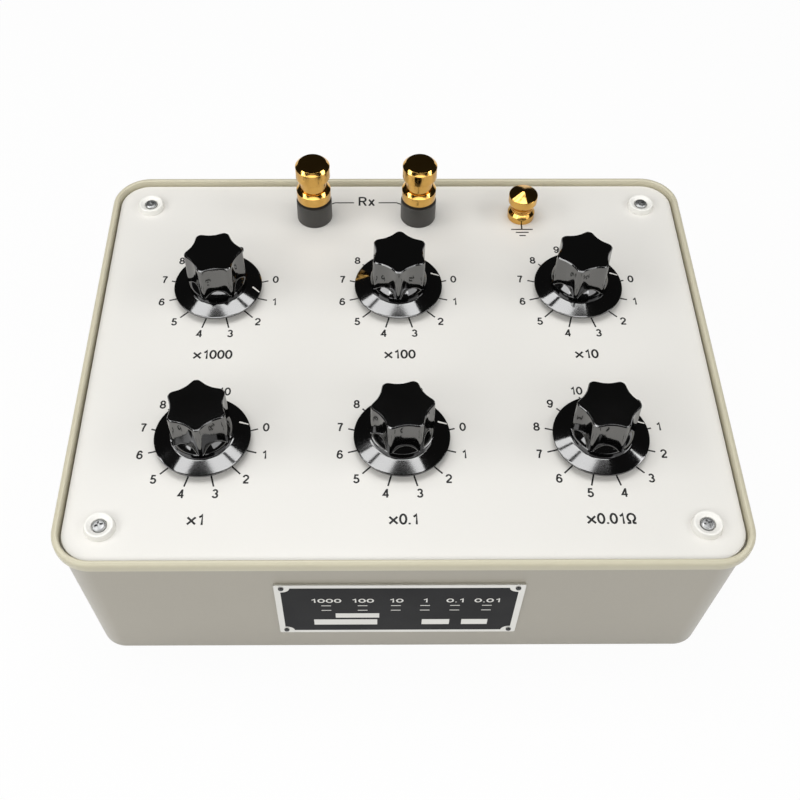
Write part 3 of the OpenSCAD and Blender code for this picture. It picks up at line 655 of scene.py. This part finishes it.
ink_black = moulded("ink_black", colour(4, 4, 4), colour(8, 8, 8), 200, 3000, (0.45, 0.6), 0.1)
dial_places = {decade: panel_place("spindle_" + decade) for decade in DECADES}
legend = []
for decade, (x, y, z) in dial_places.items():
    ticks = grown("ticks", tick_tree, bpy.data.meshes.new("ticks"), ink_black, count=POSITIONS,
                  first_angle=math.radians(FIRST_TICK[decade]), step_angle=math.radians(TICK_STEP),
                  inner_radius=TICK_IN * MM, outer_radius=TICK_OUT * MM, width=TICK_W * MM,
                  thickness=INK_T * MM)
    legend.append((ticks, (x, y, z)))
    for k in range(POSITIONS):
        a = math.radians(FIRST_TICK[decade] - TICK_STEP * k)
        legend += lettering(str(k), NUMBER_H, x + NUMBER_R * math.cos(a), y + NUMBER_R * math.sin(a), z)
    legend += lettering(MULTIPLIERS[decade], MULTIPLIER_H, x, y - MULTIPLIER_DROP, z)
legend += lettering(POST_MARK, POST_MARK_H, POST_MARK_X, POST_MARK_Y, PANEL_TOP, pen=POST_MARK_PEN)
earth_sign = [(EARTH_X - half_bar, y, EARTH_X + half_bar, y) for y, half_bar in EARTH_BARS.items()]
earth_sign.append((EARTH_X, max(EARTH_BARS), EARTH_X, EARTH_STEM_TOP))
legend += [(ink_line(*ends), ORIGIN) for ends in BRACKET + earth_sign]
place_piece("panel_legend", joined("panel_legend", legend), ink_black, "case", "insulator_black")


# Screw cups and panel screws
# Four turned white nylon cups stand on the corners of the panel, each with a plated cross-head
# screw sunk in it that holds the panel down.
CUP_R = 6.3
CUP_SLOPE = 0.6
CUP_H = 2.8
CUP_EDGE = 0.8
CUP_DISH = 1
CUP_FLOOR = 0.8
CUP_RECESS_R = 3.2
SCREW_PLAY = 0.2
SCREW_HEAD_R = 2.9
SCREW_HEAD_H = 1.8
SCREW_SHANK_R = 1.5
SCREW_SHANK = 13
SCREW_TIP_R = 1
SCREW_TIP = 1
CROSS_L = 3.4
CROSS_W = 0.9
CROSS_DEPTH = 1.1
CROSS_OVER = 1
CROSS_TURN = math.radians(20)

corner_tree, given = growing_tree("four_corners", ["Spread X", "Spread Y"])
corners = add(corner_tree, "GeometryNodeMeshGrid", {"Size X": given["Spread X"], "Size Y": given["Spread Y"],
                                                    "Vertices X": 2, "Vertices Y": 2})
four = add(corner_tree, "GeometryNodeInstanceOnPoints",
           {"Points": corners.outputs["Mesh"], "Instance": given["Geometry"]})
close_tree(corner_tree, given, four.outputs[0])


def carved(name, mesh, tool):
    """Mesh with a tool mesh cut out of it."""
    holder = bpy.data.objects.new(name, mesh)
    cutter = bpy.data.objects.new("cutter", tool)
    scene.collection.objects.link(holder)
    scene.collection.objects.link(cutter)
    cut = holder.modifiers.new("cut", "BOOLEAN")
    cut.operation = "DIFFERENCE"
    cut.solver = "EXACT"
    cut.object = cutter
    made = plain_mesh(holder, name)
    bpy.data.objects.remove(cutter)
    return made


def box_outline(x, y, w, h):
    """Corners of a rectangle round x, y."""
    return [(x - w / 2, y - h / 2), (x + w / 2, y - h / 2), (x + w / 2, y + h / 2), (x - w / 2, y + h / 2)]


def spun(mesh, angle):
    """Copy of a mesh turned round Z."""
    made = mesh.copy()
    made.transform(Matrix.Rotation(angle, 4, "Z"))
    return made


cup_bore = SCREW_SHANK_R + SCREW_PLAY
cup_top = CUP_R - CUP_SLOPE
cup = finished(turned("cup", softened([
    (cup_bore, 0), (CUP_R, 0, 0.15), (cup_top, CUP_H, 0.45), (cup_top - CUP_EDGE, CUP_H, 0.4),
    (CUP_RECESS_R, CUP_H - CUP_DISH, 0.25), (CUP_RECESS_R, CUP_FLOOR, 0.1), (cup_bore, CUP_FLOOR),
    (cup_bore, 0)]), steps=96))
cup_white = moulded("cup_white", colour(250, 249, 244), colour(246, 244, 237), 60, 1500, (0.34, 0.44), 0.06)

screw_end = CUP_FLOOR - SCREW_SHANK
head_top = CUP_FLOOR + SCREW_HEAD_H
panel_screw = turned("panel_screw", softened([
    (0, screw_end), (SCREW_TIP_R, screw_end), (SCREW_SHANK_R, screw_end + SCREW_TIP),
    (SCREW_SHANK_R, CUP_FLOOR), (SCREW_HEAD_R, CUP_FLOOR, 0.15), (SCREW_HEAD_R, head_top, 1.0),
    (0, head_top)]), steps=64)
cross_slot = sheet_of("cross_slot", box_outline(0, 0, CROSS_L, CROSS_W), head_top - CROSS_DEPTH,
                      head_top + CROSS_OVER)
for turn in (0, math.pi / 2):
    panel_screw = carved("panel_screw", finished(panel_screw), spun(cross_slot, turn + CROSS_TURN))
for name, mesh, material, slot, node in (
        ("cup_set", cup, cup_white, "cup_white", "screw_cups"),
        ("screw_set", panel_screw, zinc_steel, "zinc_steel", "panel_screws")):
    mesh.transform(Matrix.Translation((0, 0, PANEL_TOP * MM)))
    four = grown(name, corner_tree, mesh, material, spread_x=2 * SCREW_X * MM, spread_y=2 * SCREW_Y * MM)
    place_piece(name, four, material, "case", slot, node)


# Binding posts
# Two turned brass posts on black moulded bases: a captive collar clamps the wire, and above it a
# spool-shaped nut with a bevelled drum turns on the stud.
RUN = 0.03
INSULATOR_R = 8.4
INSULATOR_H = 11.3
INSULATOR_SPIGOT_R = 5
INSULATOR_SPIGOT_Z = -3
STUD_R = 3.05
CLAMP_Z = 13
CLAMP_H = 6.3
CLAMP_R = 8.1
NUT_BEVEL = 1.4
NUT_SPIGOT_R = 4.5
NUT_SPIGOT_UP = 0.3
NECK_R = 6.2
NUT_Z = 19.4
DRUM_Z = 26
DRUM_R = 8.05
NUT_TOP = 33.4
NUT_BORE_TOP = 30.8

# Lathe marks: fine rings along the turned outline, in the gloss and in the normal
TARNISH_SHARE = 0.6
SPOT_SCALE = 220.0
MARK_DEPTH = 0.05
lathe, given = shader_group("lathe_marks", {
    "Colour": (0.8, 0.6, 0.2, 1), "Tarnish Colour": (0.5, 0.3, 0.1, 1), "Ring Scale": 6.0,
    "Gloss Low": 0.1, "Gloss High": 0.2, "Depth": 0.1})
turning = add(lathe, "ShaderNodeUVMap", uv_map="turning").outputs[0]
along = add(lathe, "ShaderNodeSeparateXYZ", {0: turning}).outputs[1]
rings = add(lathe, "ShaderNodeTexNoise", {"W": calc(lathe, "MULTIPLY", along, given["Ring Scale"]),
                                         "Scale": 1.0, "Detail": 3.0}, noise_dimensions="1D").outputs[0]
spots = add(lathe, "ShaderNodeTexNoise", {"Vector": add(lathe, "ShaderNodeTexCoord").outputs["Object"],
                                         "Scale": SPOT_SCALE, "Detail": 3.0})
tarnish = calc(lathe, "MULTIPLY", spots.outputs[0], TARNISH_SHARE)
marks = add(lathe, "ShaderNodeBump", {"Strength": given["Depth"], "Distance": MARK_DEPTH * MM,
                                      "Height": rings})
add(lathe, "NodeGroupOutput", {
    "Colour": mix_colours(lathe, tarnish, given["Colour"], given["Tarnish Colour"]),
    "Roughness": spread(lathe, rings, NOISE_LOW, NOISE_HIGH, given["Gloss Low"], given["Gloss High"]),
    "Normal": marks.outputs[0]})
polished_brass = surfaced("polished_brass", lathe, {
    "Colour": colour(228, 184, 102), "Tarnish Colour": colour(192, 134, 58), "Ring Scale": 7,
    "Gloss Low": 0.05, "Gloss High": 0.13, "Depth": 0.08}, {"Metallic": 1.0})

insulator = turned("insulator", softened([
    (STUD_R, INSULATOR_SPIGOT_Z), (INSULATOR_SPIGOT_R, INSULATOR_SPIGOT_Z), (INSULATOR_SPIGOT_R, 0),
    (INSULATOR_R, 0, 0.15), (INSULATOR_R, INSULATOR_H, 0.5), (STUD_R, INSULATOR_H),
    (STUD_R, INSULATOR_SPIGOT_Z)]))
collar_bore = NUT_SPIGOT_R + RUN
clamp_top = CLAMP_Z + CLAMP_H
collar = turned("collar", softened([
    (collar_bore, CLAMP_Z), (CLAMP_R, CLAMP_Z, 0.3), (CLAMP_R, clamp_top - NUT_BEVEL, 0.15),
    (CLAMP_R - NUT_BEVEL, clamp_top, 0.15), (collar_bore, clamp_top, 0.1), (collar_bore, CLAMP_Z)]))
nut_foot = CLAMP_Z + NUT_SPIGOT_UP
spool_nut = turned("spool_nut", softened([
    (STUD_R, nut_foot), (NUT_SPIGOT_R, nut_foot), (NUT_SPIGOT_R, NUT_Z, 0.1), (NECK_R, NUT_Z, 0.2),
    (NECK_R, DRUM_Z - NUT_BEVEL / 2, 0.3), (DRUM_R, DRUM_Z, 0.3), (DRUM_R, NUT_TOP - NUT_BEVEL, 0.15),
    (DRUM_R - NUT_BEVEL, NUT_TOP, 0.15), (0, NUT_TOP)]))
nut_bore = turned("nut_bore", [(STUD_R, nut_foot), (STUD_R, NUT_BORE_TOP), (0, NUT_BORE_TOP)])
post_places = {side: panel_place("post_nut_" + side) for side in ("left", "right")}
for side, place in post_places.items():
    place_piece("collar_" + side, joined("collar", [(collar, place)]), polished_brass, "clamp_" + side,
                "polished_brass", "clamp_collar_" + side)
    bored_nut = joined("spool_nut", [(spool_nut, place), (nut_bore, place)])
    place_piece("spool_nut_" + side, bored_nut, polished_brass, "nut_" + side, "polished_brass",
                "post_nut_" + side)
insulator_pair = joined("insulator_pair", [(insulator, place) for place in post_places.values()])
place_piece("insulator_pair", insulator_pair, insulator_black, "case", "insulator_black", "post_insulators")


# Earth post
# A smaller turned brass post straight on the panel: a flanged stud, a clamp washer and a thumb nut
# with a narrow waist, a wide head and a blunt pointed top.
EARTH_STUD_R = 2.5
EARTH_FLANGE_R = 6.45
EARTH_BAND = 3.4
EARTH_SEAT = 5.0
EARTH_WAIST_R = 5.2
EARTH_WASHER_Z = 5.1
EARTH_WASHER_TOP = 5.9
EARTH_NUT_Z = 6.0
EARTH_HEAD_R = 6.84
EARTH_NECK_R = 5.5
EARTH_NECK_Z = 7.4
EARTH_HEAD_Z = 10.2
EARTH_POINT_Z = 14.0
EARTH_POINT_R = 0.8
EARTH_TOP = 16.4
EARTH_FOOT = -13
EARTH_STUD_TOP = 11.9
EARTH_BORE_TOP = 12.5
earth_bore_r = EARTH_STUD_R + RUN
earth_flange = turned("earth_flange", softened([
    (0, EARTH_FOOT), (EARTH_STUD_R, EARTH_FOOT, 0.4), (EARTH_STUD_R, 0), (EARTH_FLANGE_R, 0, 0.2),
    (EARTH_FLANGE_R, EARTH_BAND, 0.5), (EARTH_WAIST_R, EARTH_SEAT, 0.15), (EARTH_STUD_R, EARTH_SEAT),
    (EARTH_STUD_R, EARTH_STUD_TOP, 0.4), (0, EARTH_STUD_TOP)]), steps=96)
earth_ring = turned("earth_ring", softened([
    (earth_bore_r, EARTH_WASHER_Z), (EARTH_WAIST_R, EARTH_WASHER_Z, 0.2),
    (EARTH_WAIST_R, EARTH_WASHER_TOP, 0.2), (earth_bore_r, EARTH_WASHER_TOP),
    (earth_bore_r, EARTH_WASHER_Z)]), steps=96)
earth_thumb = turned("earth_thumb", softened([
    (earth_bore_r, EARTH_NUT_Z), (EARTH_WAIST_R, EARTH_NUT_Z, 0.2), (EARTH_NECK_R, EARTH_NECK_Z, 2.0),
    (EARTH_HEAD_R, EARTH_HEAD_Z, 0.6), (EARTH_HEAD_R, EARTH_POINT_Z, 0.4), (EARTH_POINT_R, EARTH_TOP, 0.3),
    (0, EARTH_TOP)]), steps=96)
earth_bore = turned("earth_bore", [(earth_bore_r, EARTH_NUT_Z), (earth_bore_r, EARTH_BORE_TOP),
                                   (0, EARTH_BORE_TOP)], steps=96)
earth_place = panel_place("earth_nut")
for name, parts, body, node in (("earth_flange", [earth_flange], "case", "earth_stud"),
                                ("earth_ring", [earth_ring], "earth_clamp", "earth_washer"),
                                ("earth_thumb", [earth_thumb, earth_bore], "earth_thumb_nut", "earth_nut")):
    place_piece(name, joined(name, [(part, earth_place) for part in parts]), polished_brass, body,
                "polished_brass", node)


# Knobs
# Six moulded black phenolic knobs, each a coned skirt with a white-filled pointer line and a
# six-lobed star head pressed into it, held on the spindle by a grub screw.
SKIRT_R = 20
SKIRT_GAP = 3
SKIRT_EDGE_Z = 3.9
SKIRT_TOP = 6
SKIRT_T = 1.6
SKIRT_RINGS = 12
SPIGOT_R = 7
SPIGOT_PLAY = 0.05
COLLAR_R = 13.2
COLLAR_TOP = 8.7
LOBES = 6.0
LEDGE_TOP = 11.6
LEDGE_SOFTEN = 0.15
VALLEY_R = 10.6
FLUTE_R = 12
TIP_R = 12.85
TIP_SOFTEN = 2.0
KNOB_TOP = 25.6
TOP_ROUND = 0.12
TOP_BEVEL = 0.5
STAR_STEPS = 288
LEDGE_RINGS = 24
LEDGE_REACH = 1.3
WALL_RINGS = 16
WALL_FOOT = 12.6
RING_GAP = 0.1
COLLAR_RING = 0.05
GRUB_R = 1.6
GRUB_PLAY = 0.1
GRUB_HOLE_OVER = 2
GRUB_Z = 15
GRUB_END = 9.2
GRUB_SLOT_W = 0.5
GRUB_SLOT_L = 4
GRUB_SLOT_FOOT = 8.4
GRUB_SLOT_TOP = 12
BORE_R = 3.03
BORE_TOP = 20.3
POINTER_L = 4.3
POINTER_W = 0.9
POINTER_INSET = 0.5
POINTER_TIP = 0.1
POINTER_SINK = -0.3
POINTER_PROUD = 0.03
POINTER_LEAD = 1
POINTER_SKEW = math.radians(22)
STAR_ANGLE = {"x1000": 6.7, "x100": 28, "x10": 14.6, "x1": 34.8, "x0_1": 5.1, "x0_01": 58.5}
REST_POSITION = {decade: 0 for decade in DECADES} | {"x1000": 1, "x0_01": 1}

star_tree, given = growing_tree("star_flutes", [
    "Lobes", "Tip Angle", "Valley Radius", "Flute Radius", "Collar Radius", "Tip Radius", "Collar Top",
    "Ledge Top", "Knob Top", "Ledge Soften", "Tip Soften"])
position = add(star_tree, "GeometryNodeInputPosition").outputs[0]
spot = add(star_tree, "ShaderNodeSeparateXYZ", {0: position}).outputs
half_pitch = calc(star_tree, "MULTIPLY", calc(star_tree, "DIVIDE", math.tau, given["Lobes"]), 0.5)
angle = calc(star_tree, "SUBTRACT", calc(star_tree, "ARCTAN2", spot[1], spot[0]), given["Tip Angle"])
off_valley = calc(star_tree, "SUBTRACT", half_pitch, calc(star_tree, "PINGPONG", angle, half_pitch))
centre = calc(star_tree, "ADD", given["Valley Radius"], given["Flute Radius"])
across = calc(star_tree, "MULTIPLY", centre, calc(star_tree, "SINE", off_valley))
depth = calc(star_tree, "SUBTRACT", calc(star_tree, "POWER", given["Flute Radius"], 2.0),
             calc(star_tree, "POWER", across, 2.0))
flute = calc(star_tree, "MULTIPLY", centre, calc(star_tree, "COSINE", off_valley))
flute = calc(star_tree, "SUBTRACT", flute, calc(star_tree, "SQRT", depth))
cone = spread(star_tree, spot[2], given["Collar Top"], given["Ledge Top"], given["Collar Radius"],
              given["Valley Radius"])
taper = spread(star_tree, spot[2], given["Collar Top"], given["Knob Top"], given["Collar Radius"],
               given["Tip Radius"])
star = calc(star_tree, "SMOOTH_MAX", flute, cone, given["Ledge Soften"])
star = calc(star_tree, "SMOOTH_MIN", star, taper, given["Tip Soften"])
above = calc(star_tree, "GREATER_THAN", spot[2], given["Collar Top"])
share = add(star_tree, "ShaderNodeMix", {0: above, 2: 1.0, 3: calc(star_tree, "DIVIDE", star, taper)},
            data_type="FLOAT").outputs[0]
moved = add(star_tree, "ShaderNodeCombineXYZ", {0: calc(star_tree, "MULTIPLY", spot[0], share),
                                                1: calc(star_tree, "MULTIPLY", spot[1], share), 2: spot[2]})
shaped = add(star_tree, "GeometryNodeSetPosition", {0: given["Geometry"], "Position": moved.outputs[0]})
close_tree(star_tree, given, shaped.outputs[0])

# The head before its flutes: bore, spigot and collar, rings for the ledge and the wall, and the crown
spigot_foot = SKIRT_TOP - SKIRT_T
wall_reach = KNOB_TOP - TOP_BEVEL - RING_GAP - WALL_FOOT
ring_heights = [COLLAR_TOP + (LEDGE_TOP - COLLAR_TOP) * LEDGE_REACH * k / LEDGE_RINGS
                for k in range(1, LEDGE_RINGS + 1)]
ring_heights += [WALL_FOOT + wall_reach * k / WALL_RINGS for k in range(1, WALL_RINGS)]
wall = [(COLLAR_R + (TIP_R - COLLAR_R) * (z - COLLAR_TOP) / (KNOB_TOP - COLLAR_TOP), z)
        for z in ring_heights]
foot = softened([
    (BORE_R, BORE_TOP), (BORE_R, spigot_foot), (SPIGOT_R, spigot_foot, 0.2), (SPIGOT_R, SKIRT_TOP),
    (COLLAR_R, SKIRT_TOP, 0.2), (COLLAR_R, COLLAR_TOP), (COLLAR_R, COLLAR_TOP + COLLAR_RING)])
crown = softened([
    wall[-1], (TIP_R, KNOB_TOP - TOP_BEVEL, TOP_ROUND), (TIP_R - TOP_BEVEL, KNOB_TOP, TOP_ROUND),
    (TIP_R - 2 * TOP_BEVEL, KNOB_TOP), (0, KNOB_TOP)])
blank_outline = [(0, BORE_TOP)] + foot + wall + crown[1:]
bakelite = moulded("knob_bakelite", colour(4, 4, 4), colour(6, 6, 6), 60, 1600, (0.05, 0.09), 0.02, IOR=1.75,
                   Specular_IOR_Level=1.0)
pointer_white = moulded("pointer_white", colour(240, 238, 232), colour(228, 226, 219), 300, 3000,
                        (0.4, 0.5), 0.1)
grub_steel = metal("grub_steel", colour(120, 120, 122), colour(96, 96, 98), (0.25, 0.4))


def skirt_height(r):
    """Height of the skirt's cone at a radius."""
    return SKIRT_EDGE_Z + (SKIRT_TOP - SKIRT_EDGE_Z) * ((SKIRT_R - r) / (SKIRT_R - COLLAR_R))


# Rings across the cone keep its shading flat
cone_radii = [SKIRT_R - (SKIRT_R - COLLAR_R) * k / SKIRT_RINGS for k in range(1, SKIRT_RINGS)]
skirt_bore = SPIGOT_R + SPIGOT_PLAY
skirt_in = SKIRT_R - SKIRT_T
skirt = turned("skirt", softened([
    (skirt_bore, spigot_foot), (COLLAR_R, spigot_foot), (skirt_in, (SKIRT_EDGE_Z + SKIRT_GAP) / 2, 0.3),
    (skirt_in, SKIRT_GAP, 0.2), (SKIRT_R, SKIRT_GAP, 0.3), (SKIRT_R, SKIRT_EDGE_Z, 0.25)]
    + [(r, skirt_height(r)) for r in cone_radii]
    + [(COLLAR_R, SKIRT_TOP), (skirt_bore, SKIRT_TOP), (skirt_bore, spigot_foot)]), steps=192)
pointer_half = POINTER_W / 3
pointer_outline = [(SKIRT_R - along * math.cos(POINTER_SKEW) + side * math.sin(POINTER_SKEW),
                    along * math.sin(POINTER_SKEW) + side * math.cos(POINTER_SKEW))
                   for along, side in ((POINTER_INSET, -pointer_half), (POINTER_INSET, pointer_half),
                                       (POINTER_L - POINTER_TIP, POINTER_W / 2), (POINTER_L, pointer_half),
                                       (POINTER_L, -pointer_half), (POINTER_L - POINTER_TIP, -POINTER_W / 2))]
pointer_loops = [[(x, y, skirt_height(math.hypot(x, y)) + lift) for x, y in pointer_outline]
                 for lift in (POINTER_SINK, POINTER_PROUD)]
pointer_line = prism("pointer_line", *pointer_loops)
on_side = Matrix.Translation((0, 0, GRUB_Z * MM)) @ Matrix.Rotation(-math.pi / 2, 4, "X")
hole_end = COLLAR_R + GRUB_HOLE_OVER
grub_hole = turned("grub_hole", [(0, 0), (GRUB_R, 0), (GRUB_R, hole_end), (0, hole_end)], steps=48)
grub_hole.transform(on_side)
grub_r = GRUB_R - GRUB_PLAY
grub_screw = turned("grub_screw", softened([
    (0, BORE_R), (grub_r, BORE_R), (grub_r, GRUB_END, 0.3), (0, GRUB_END)]), steps=48)
grub_slot = sheet_of("grub_slot", box_outline(0, 0, GRUB_SLOT_L, GRUB_SLOT_W), GRUB_SLOT_FOOT, GRUB_SLOT_TOP)
grub_screw = carved("grub_screw", finished(grub_screw), grub_slot)
grub_screw.transform(on_side)
for decade, dial in dial_places.items():
    body = "knob_" + decade
    star_turn = math.radians(STAR_ANGLE[decade])
    head = grown("star_head", star_tree, turned("blank", blank_outline, STAR_STEPS), bakelite, lobes=LOBES,
                 tip_angle=star_turn, valley_radius=VALLEY_R * MM, flute_radius=FLUTE_R * MM,
                 collar_radius=COLLAR_R * MM, tip_radius=TIP_R * MM, collar_top=COLLAR_TOP * MM,
                 ledge_top=LEDGE_TOP * MM, knob_top=KNOB_TOP * MM, ledge_soften=LEDGE_SOFTEN * MM,
                 tip_soften=TIP_SOFTEN * MM)
    head = carved("star_head", finished(head), finished(spun(grub_hole, star_turn)))
    place_piece("star_head_" + decade, joined("star_head", [(head, dial)]), bakelite, body, "knob_bakelite",
                "knob_head_" + decade)
    place_piece("skirt_" + decade, joined("skirt", [(skirt, dial)]), bakelite, body, "knob_bakelite",
                "knob_skirt_" + decade)
    pointer_turn = FIRST_TICK[decade] - TICK_STEP * REST_POSITION[decade] + POINTER_LEAD
    line = spun(pointer_line, math.radians(pointer_turn))
    place_piece("pointer_" + decade, joined("pointer", [(line, dial)]), pointer_white, body, "panel_white")
    grub = spun(grub_screw, star_turn)
    place_piece("grub_" + decade, joined("grub", [(grub, dial)]), grub_steel, body, "zinc_steel")


# Nameplate
# An etched aluminium plate riveted to the drafted front wall: a black field inside a bare metal
# border with a round tab at each rivet, a ruled table and four blank fields.
PLATE_W = 101
PLATE_H = 47
PLATE_T = 1
PLATE_R = 1.0
PLATE_BAND = 0.9
PLATE_X = -1.5
PLATE_Z = 41.5
BORDER = 2.6
TAB_R = 3.8
RIVET_INSET = 3
RIVET_HEAD_R = 1.2
RIVET_R = 0.8
RIVET_FOOT = -2.5
RIVET_SHOULDER_R = 0.96
RIVET_SHOULDER = 0.6
RIVET_DOME = 0.8
FIELD_T = 0.04
BLANKS = [(-17.1, -5.6, 18.2, 4.4), (-22.1, -12.3, 26.6, 5.4), (15.8, -12.3, 11.6, 5.2),
          (32.2, -12.3, 11, 5.2)]
COLUMNS = {-29.9: "1000", -14.9: "100", -1.2: "10", 10.8: "1", 23.1: "0.1", 36.2: "0.01"}
COLUMN_H = 3.5
COLUMN_WIDEN = 1.35
COLUMN_PEN = 0.19
TABLE_Y = 9.2
DASH_ROWS = (4.3, -0.3)
DASH_W = 4
DASH_H = 0.6


def field_outline(steps=8):
    """Corner points of the black field: straight sides with a hollow round left at each rivet."""
    w = PLATE_W / 2 - BORDER
    h = PLATE_H / 2 - BORDER
    outline = []
    for corner, (x, y) in enumerate(((w, h), (-w, h), (-w, -h), (w, -h))):
        start = math.pi * 1.5 + math.pi / 2 * corner
        for k in range(steps + 1):
            a = start - math.pi / 2 * k / steps
            outline.append((x + TAB_R * math.cos(a), y + TAB_R * math.sin(a)))
    return outline


wall_in = LIP + (rim_foot - PLATE_Z) * math.tan(DRAFT)
on_wall = Matrix.Translation(Vector((PLATE_X, wall_in - CASE_HALF_D, PLATE_Z)) * MM)
on_wall = on_wall @ Matrix.Rotation(math.pi / 2 + DRAFT, 4, "X")
plate_section = softened([(PLATE_BAND, 0), (0, 0, 0.1), (0, PLATE_T, 0.25), (PLATE_BAND, PLATE_T)])
plate_sheet = lofted("plate_sheet", plate_section, PLATE_W / 2, PLATE_H / 2, PLATE_R)
field_top = PLATE_T + FIELD_T
mark_top = field_top + FIELD_T
plate_field = sheet_of("plate_field", field_outline(), PLATE_T, field_top)
plate_marks = [(sheet_of("blank", box_outline(*spot), field_top, mark_top), ORIGIN) for spot in BLANKS]
for x, words in COLUMNS.items():
    plate_marks += lettering(words, COLUMN_H, x, TABLE_Y, field_top, COLUMN_WIDEN, COLUMN_PEN)
    for y in DASH_ROWS:
        dash = sheet_of("dash", box_outline(x, y, DASH_W, DASH_H), field_top, mark_top)
        plate_marks.append((dash, ORIGIN))
rivet = turned("rivet", softened([
    (0, RIVET_FOOT), (RIVET_R, RIVET_FOOT), (RIVET_R, PLATE_T), (RIVET_HEAD_R, PLATE_T, 0.1),
    (RIVET_SHOULDER_R, PLATE_T + RIVET_SHOULDER, 0.5), (0, PLATE_T + RIVET_DOME)]), steps=40)
plate_metal = moulded("plate_metal", colour(232, 231, 226), colour(214, 213, 207), 40, 1800,
                      (0.3, 0.42), 0.06, Metallic=1.0)
plate_black = moulded("plate_black", colour(13, 13, 16), colour(18, 18, 21), 50, 2000, (0.42, 0.52), 0.08,
                      Specular_IOR_Level=0.1)
rivet_steel = metal("rivet_steel", colour(84, 84, 84), colour(64, 64, 65), (0.2, 0.3))
rivet_set = grown("rivet_set", corner_tree, rivet, rivet_steel, spread_x=(PLATE_W - 2 * RIVET_INSET) * MM,
                  spread_y=(PLATE_H - 2 * RIVET_INSET) * MM)
for name, mesh, material, slot, nodes in (
        ("plate_sheet", plate_sheet, plate_metal, "plate_black", ["nameplate"]),
        ("plate_field", plate_field, plate_black, "plate_black", []),
        ("plate_marks", joined("plate_marks", plate_marks), plate_metal, "plate_black", []),
        ("rivet_set", rivet_set, rivet_steel, "zinc_steel", ["nameplate_rivets"])):
    mesh.transform(on_wall)
    place_piece(name, mesh, material, "case", slot, *nodes)
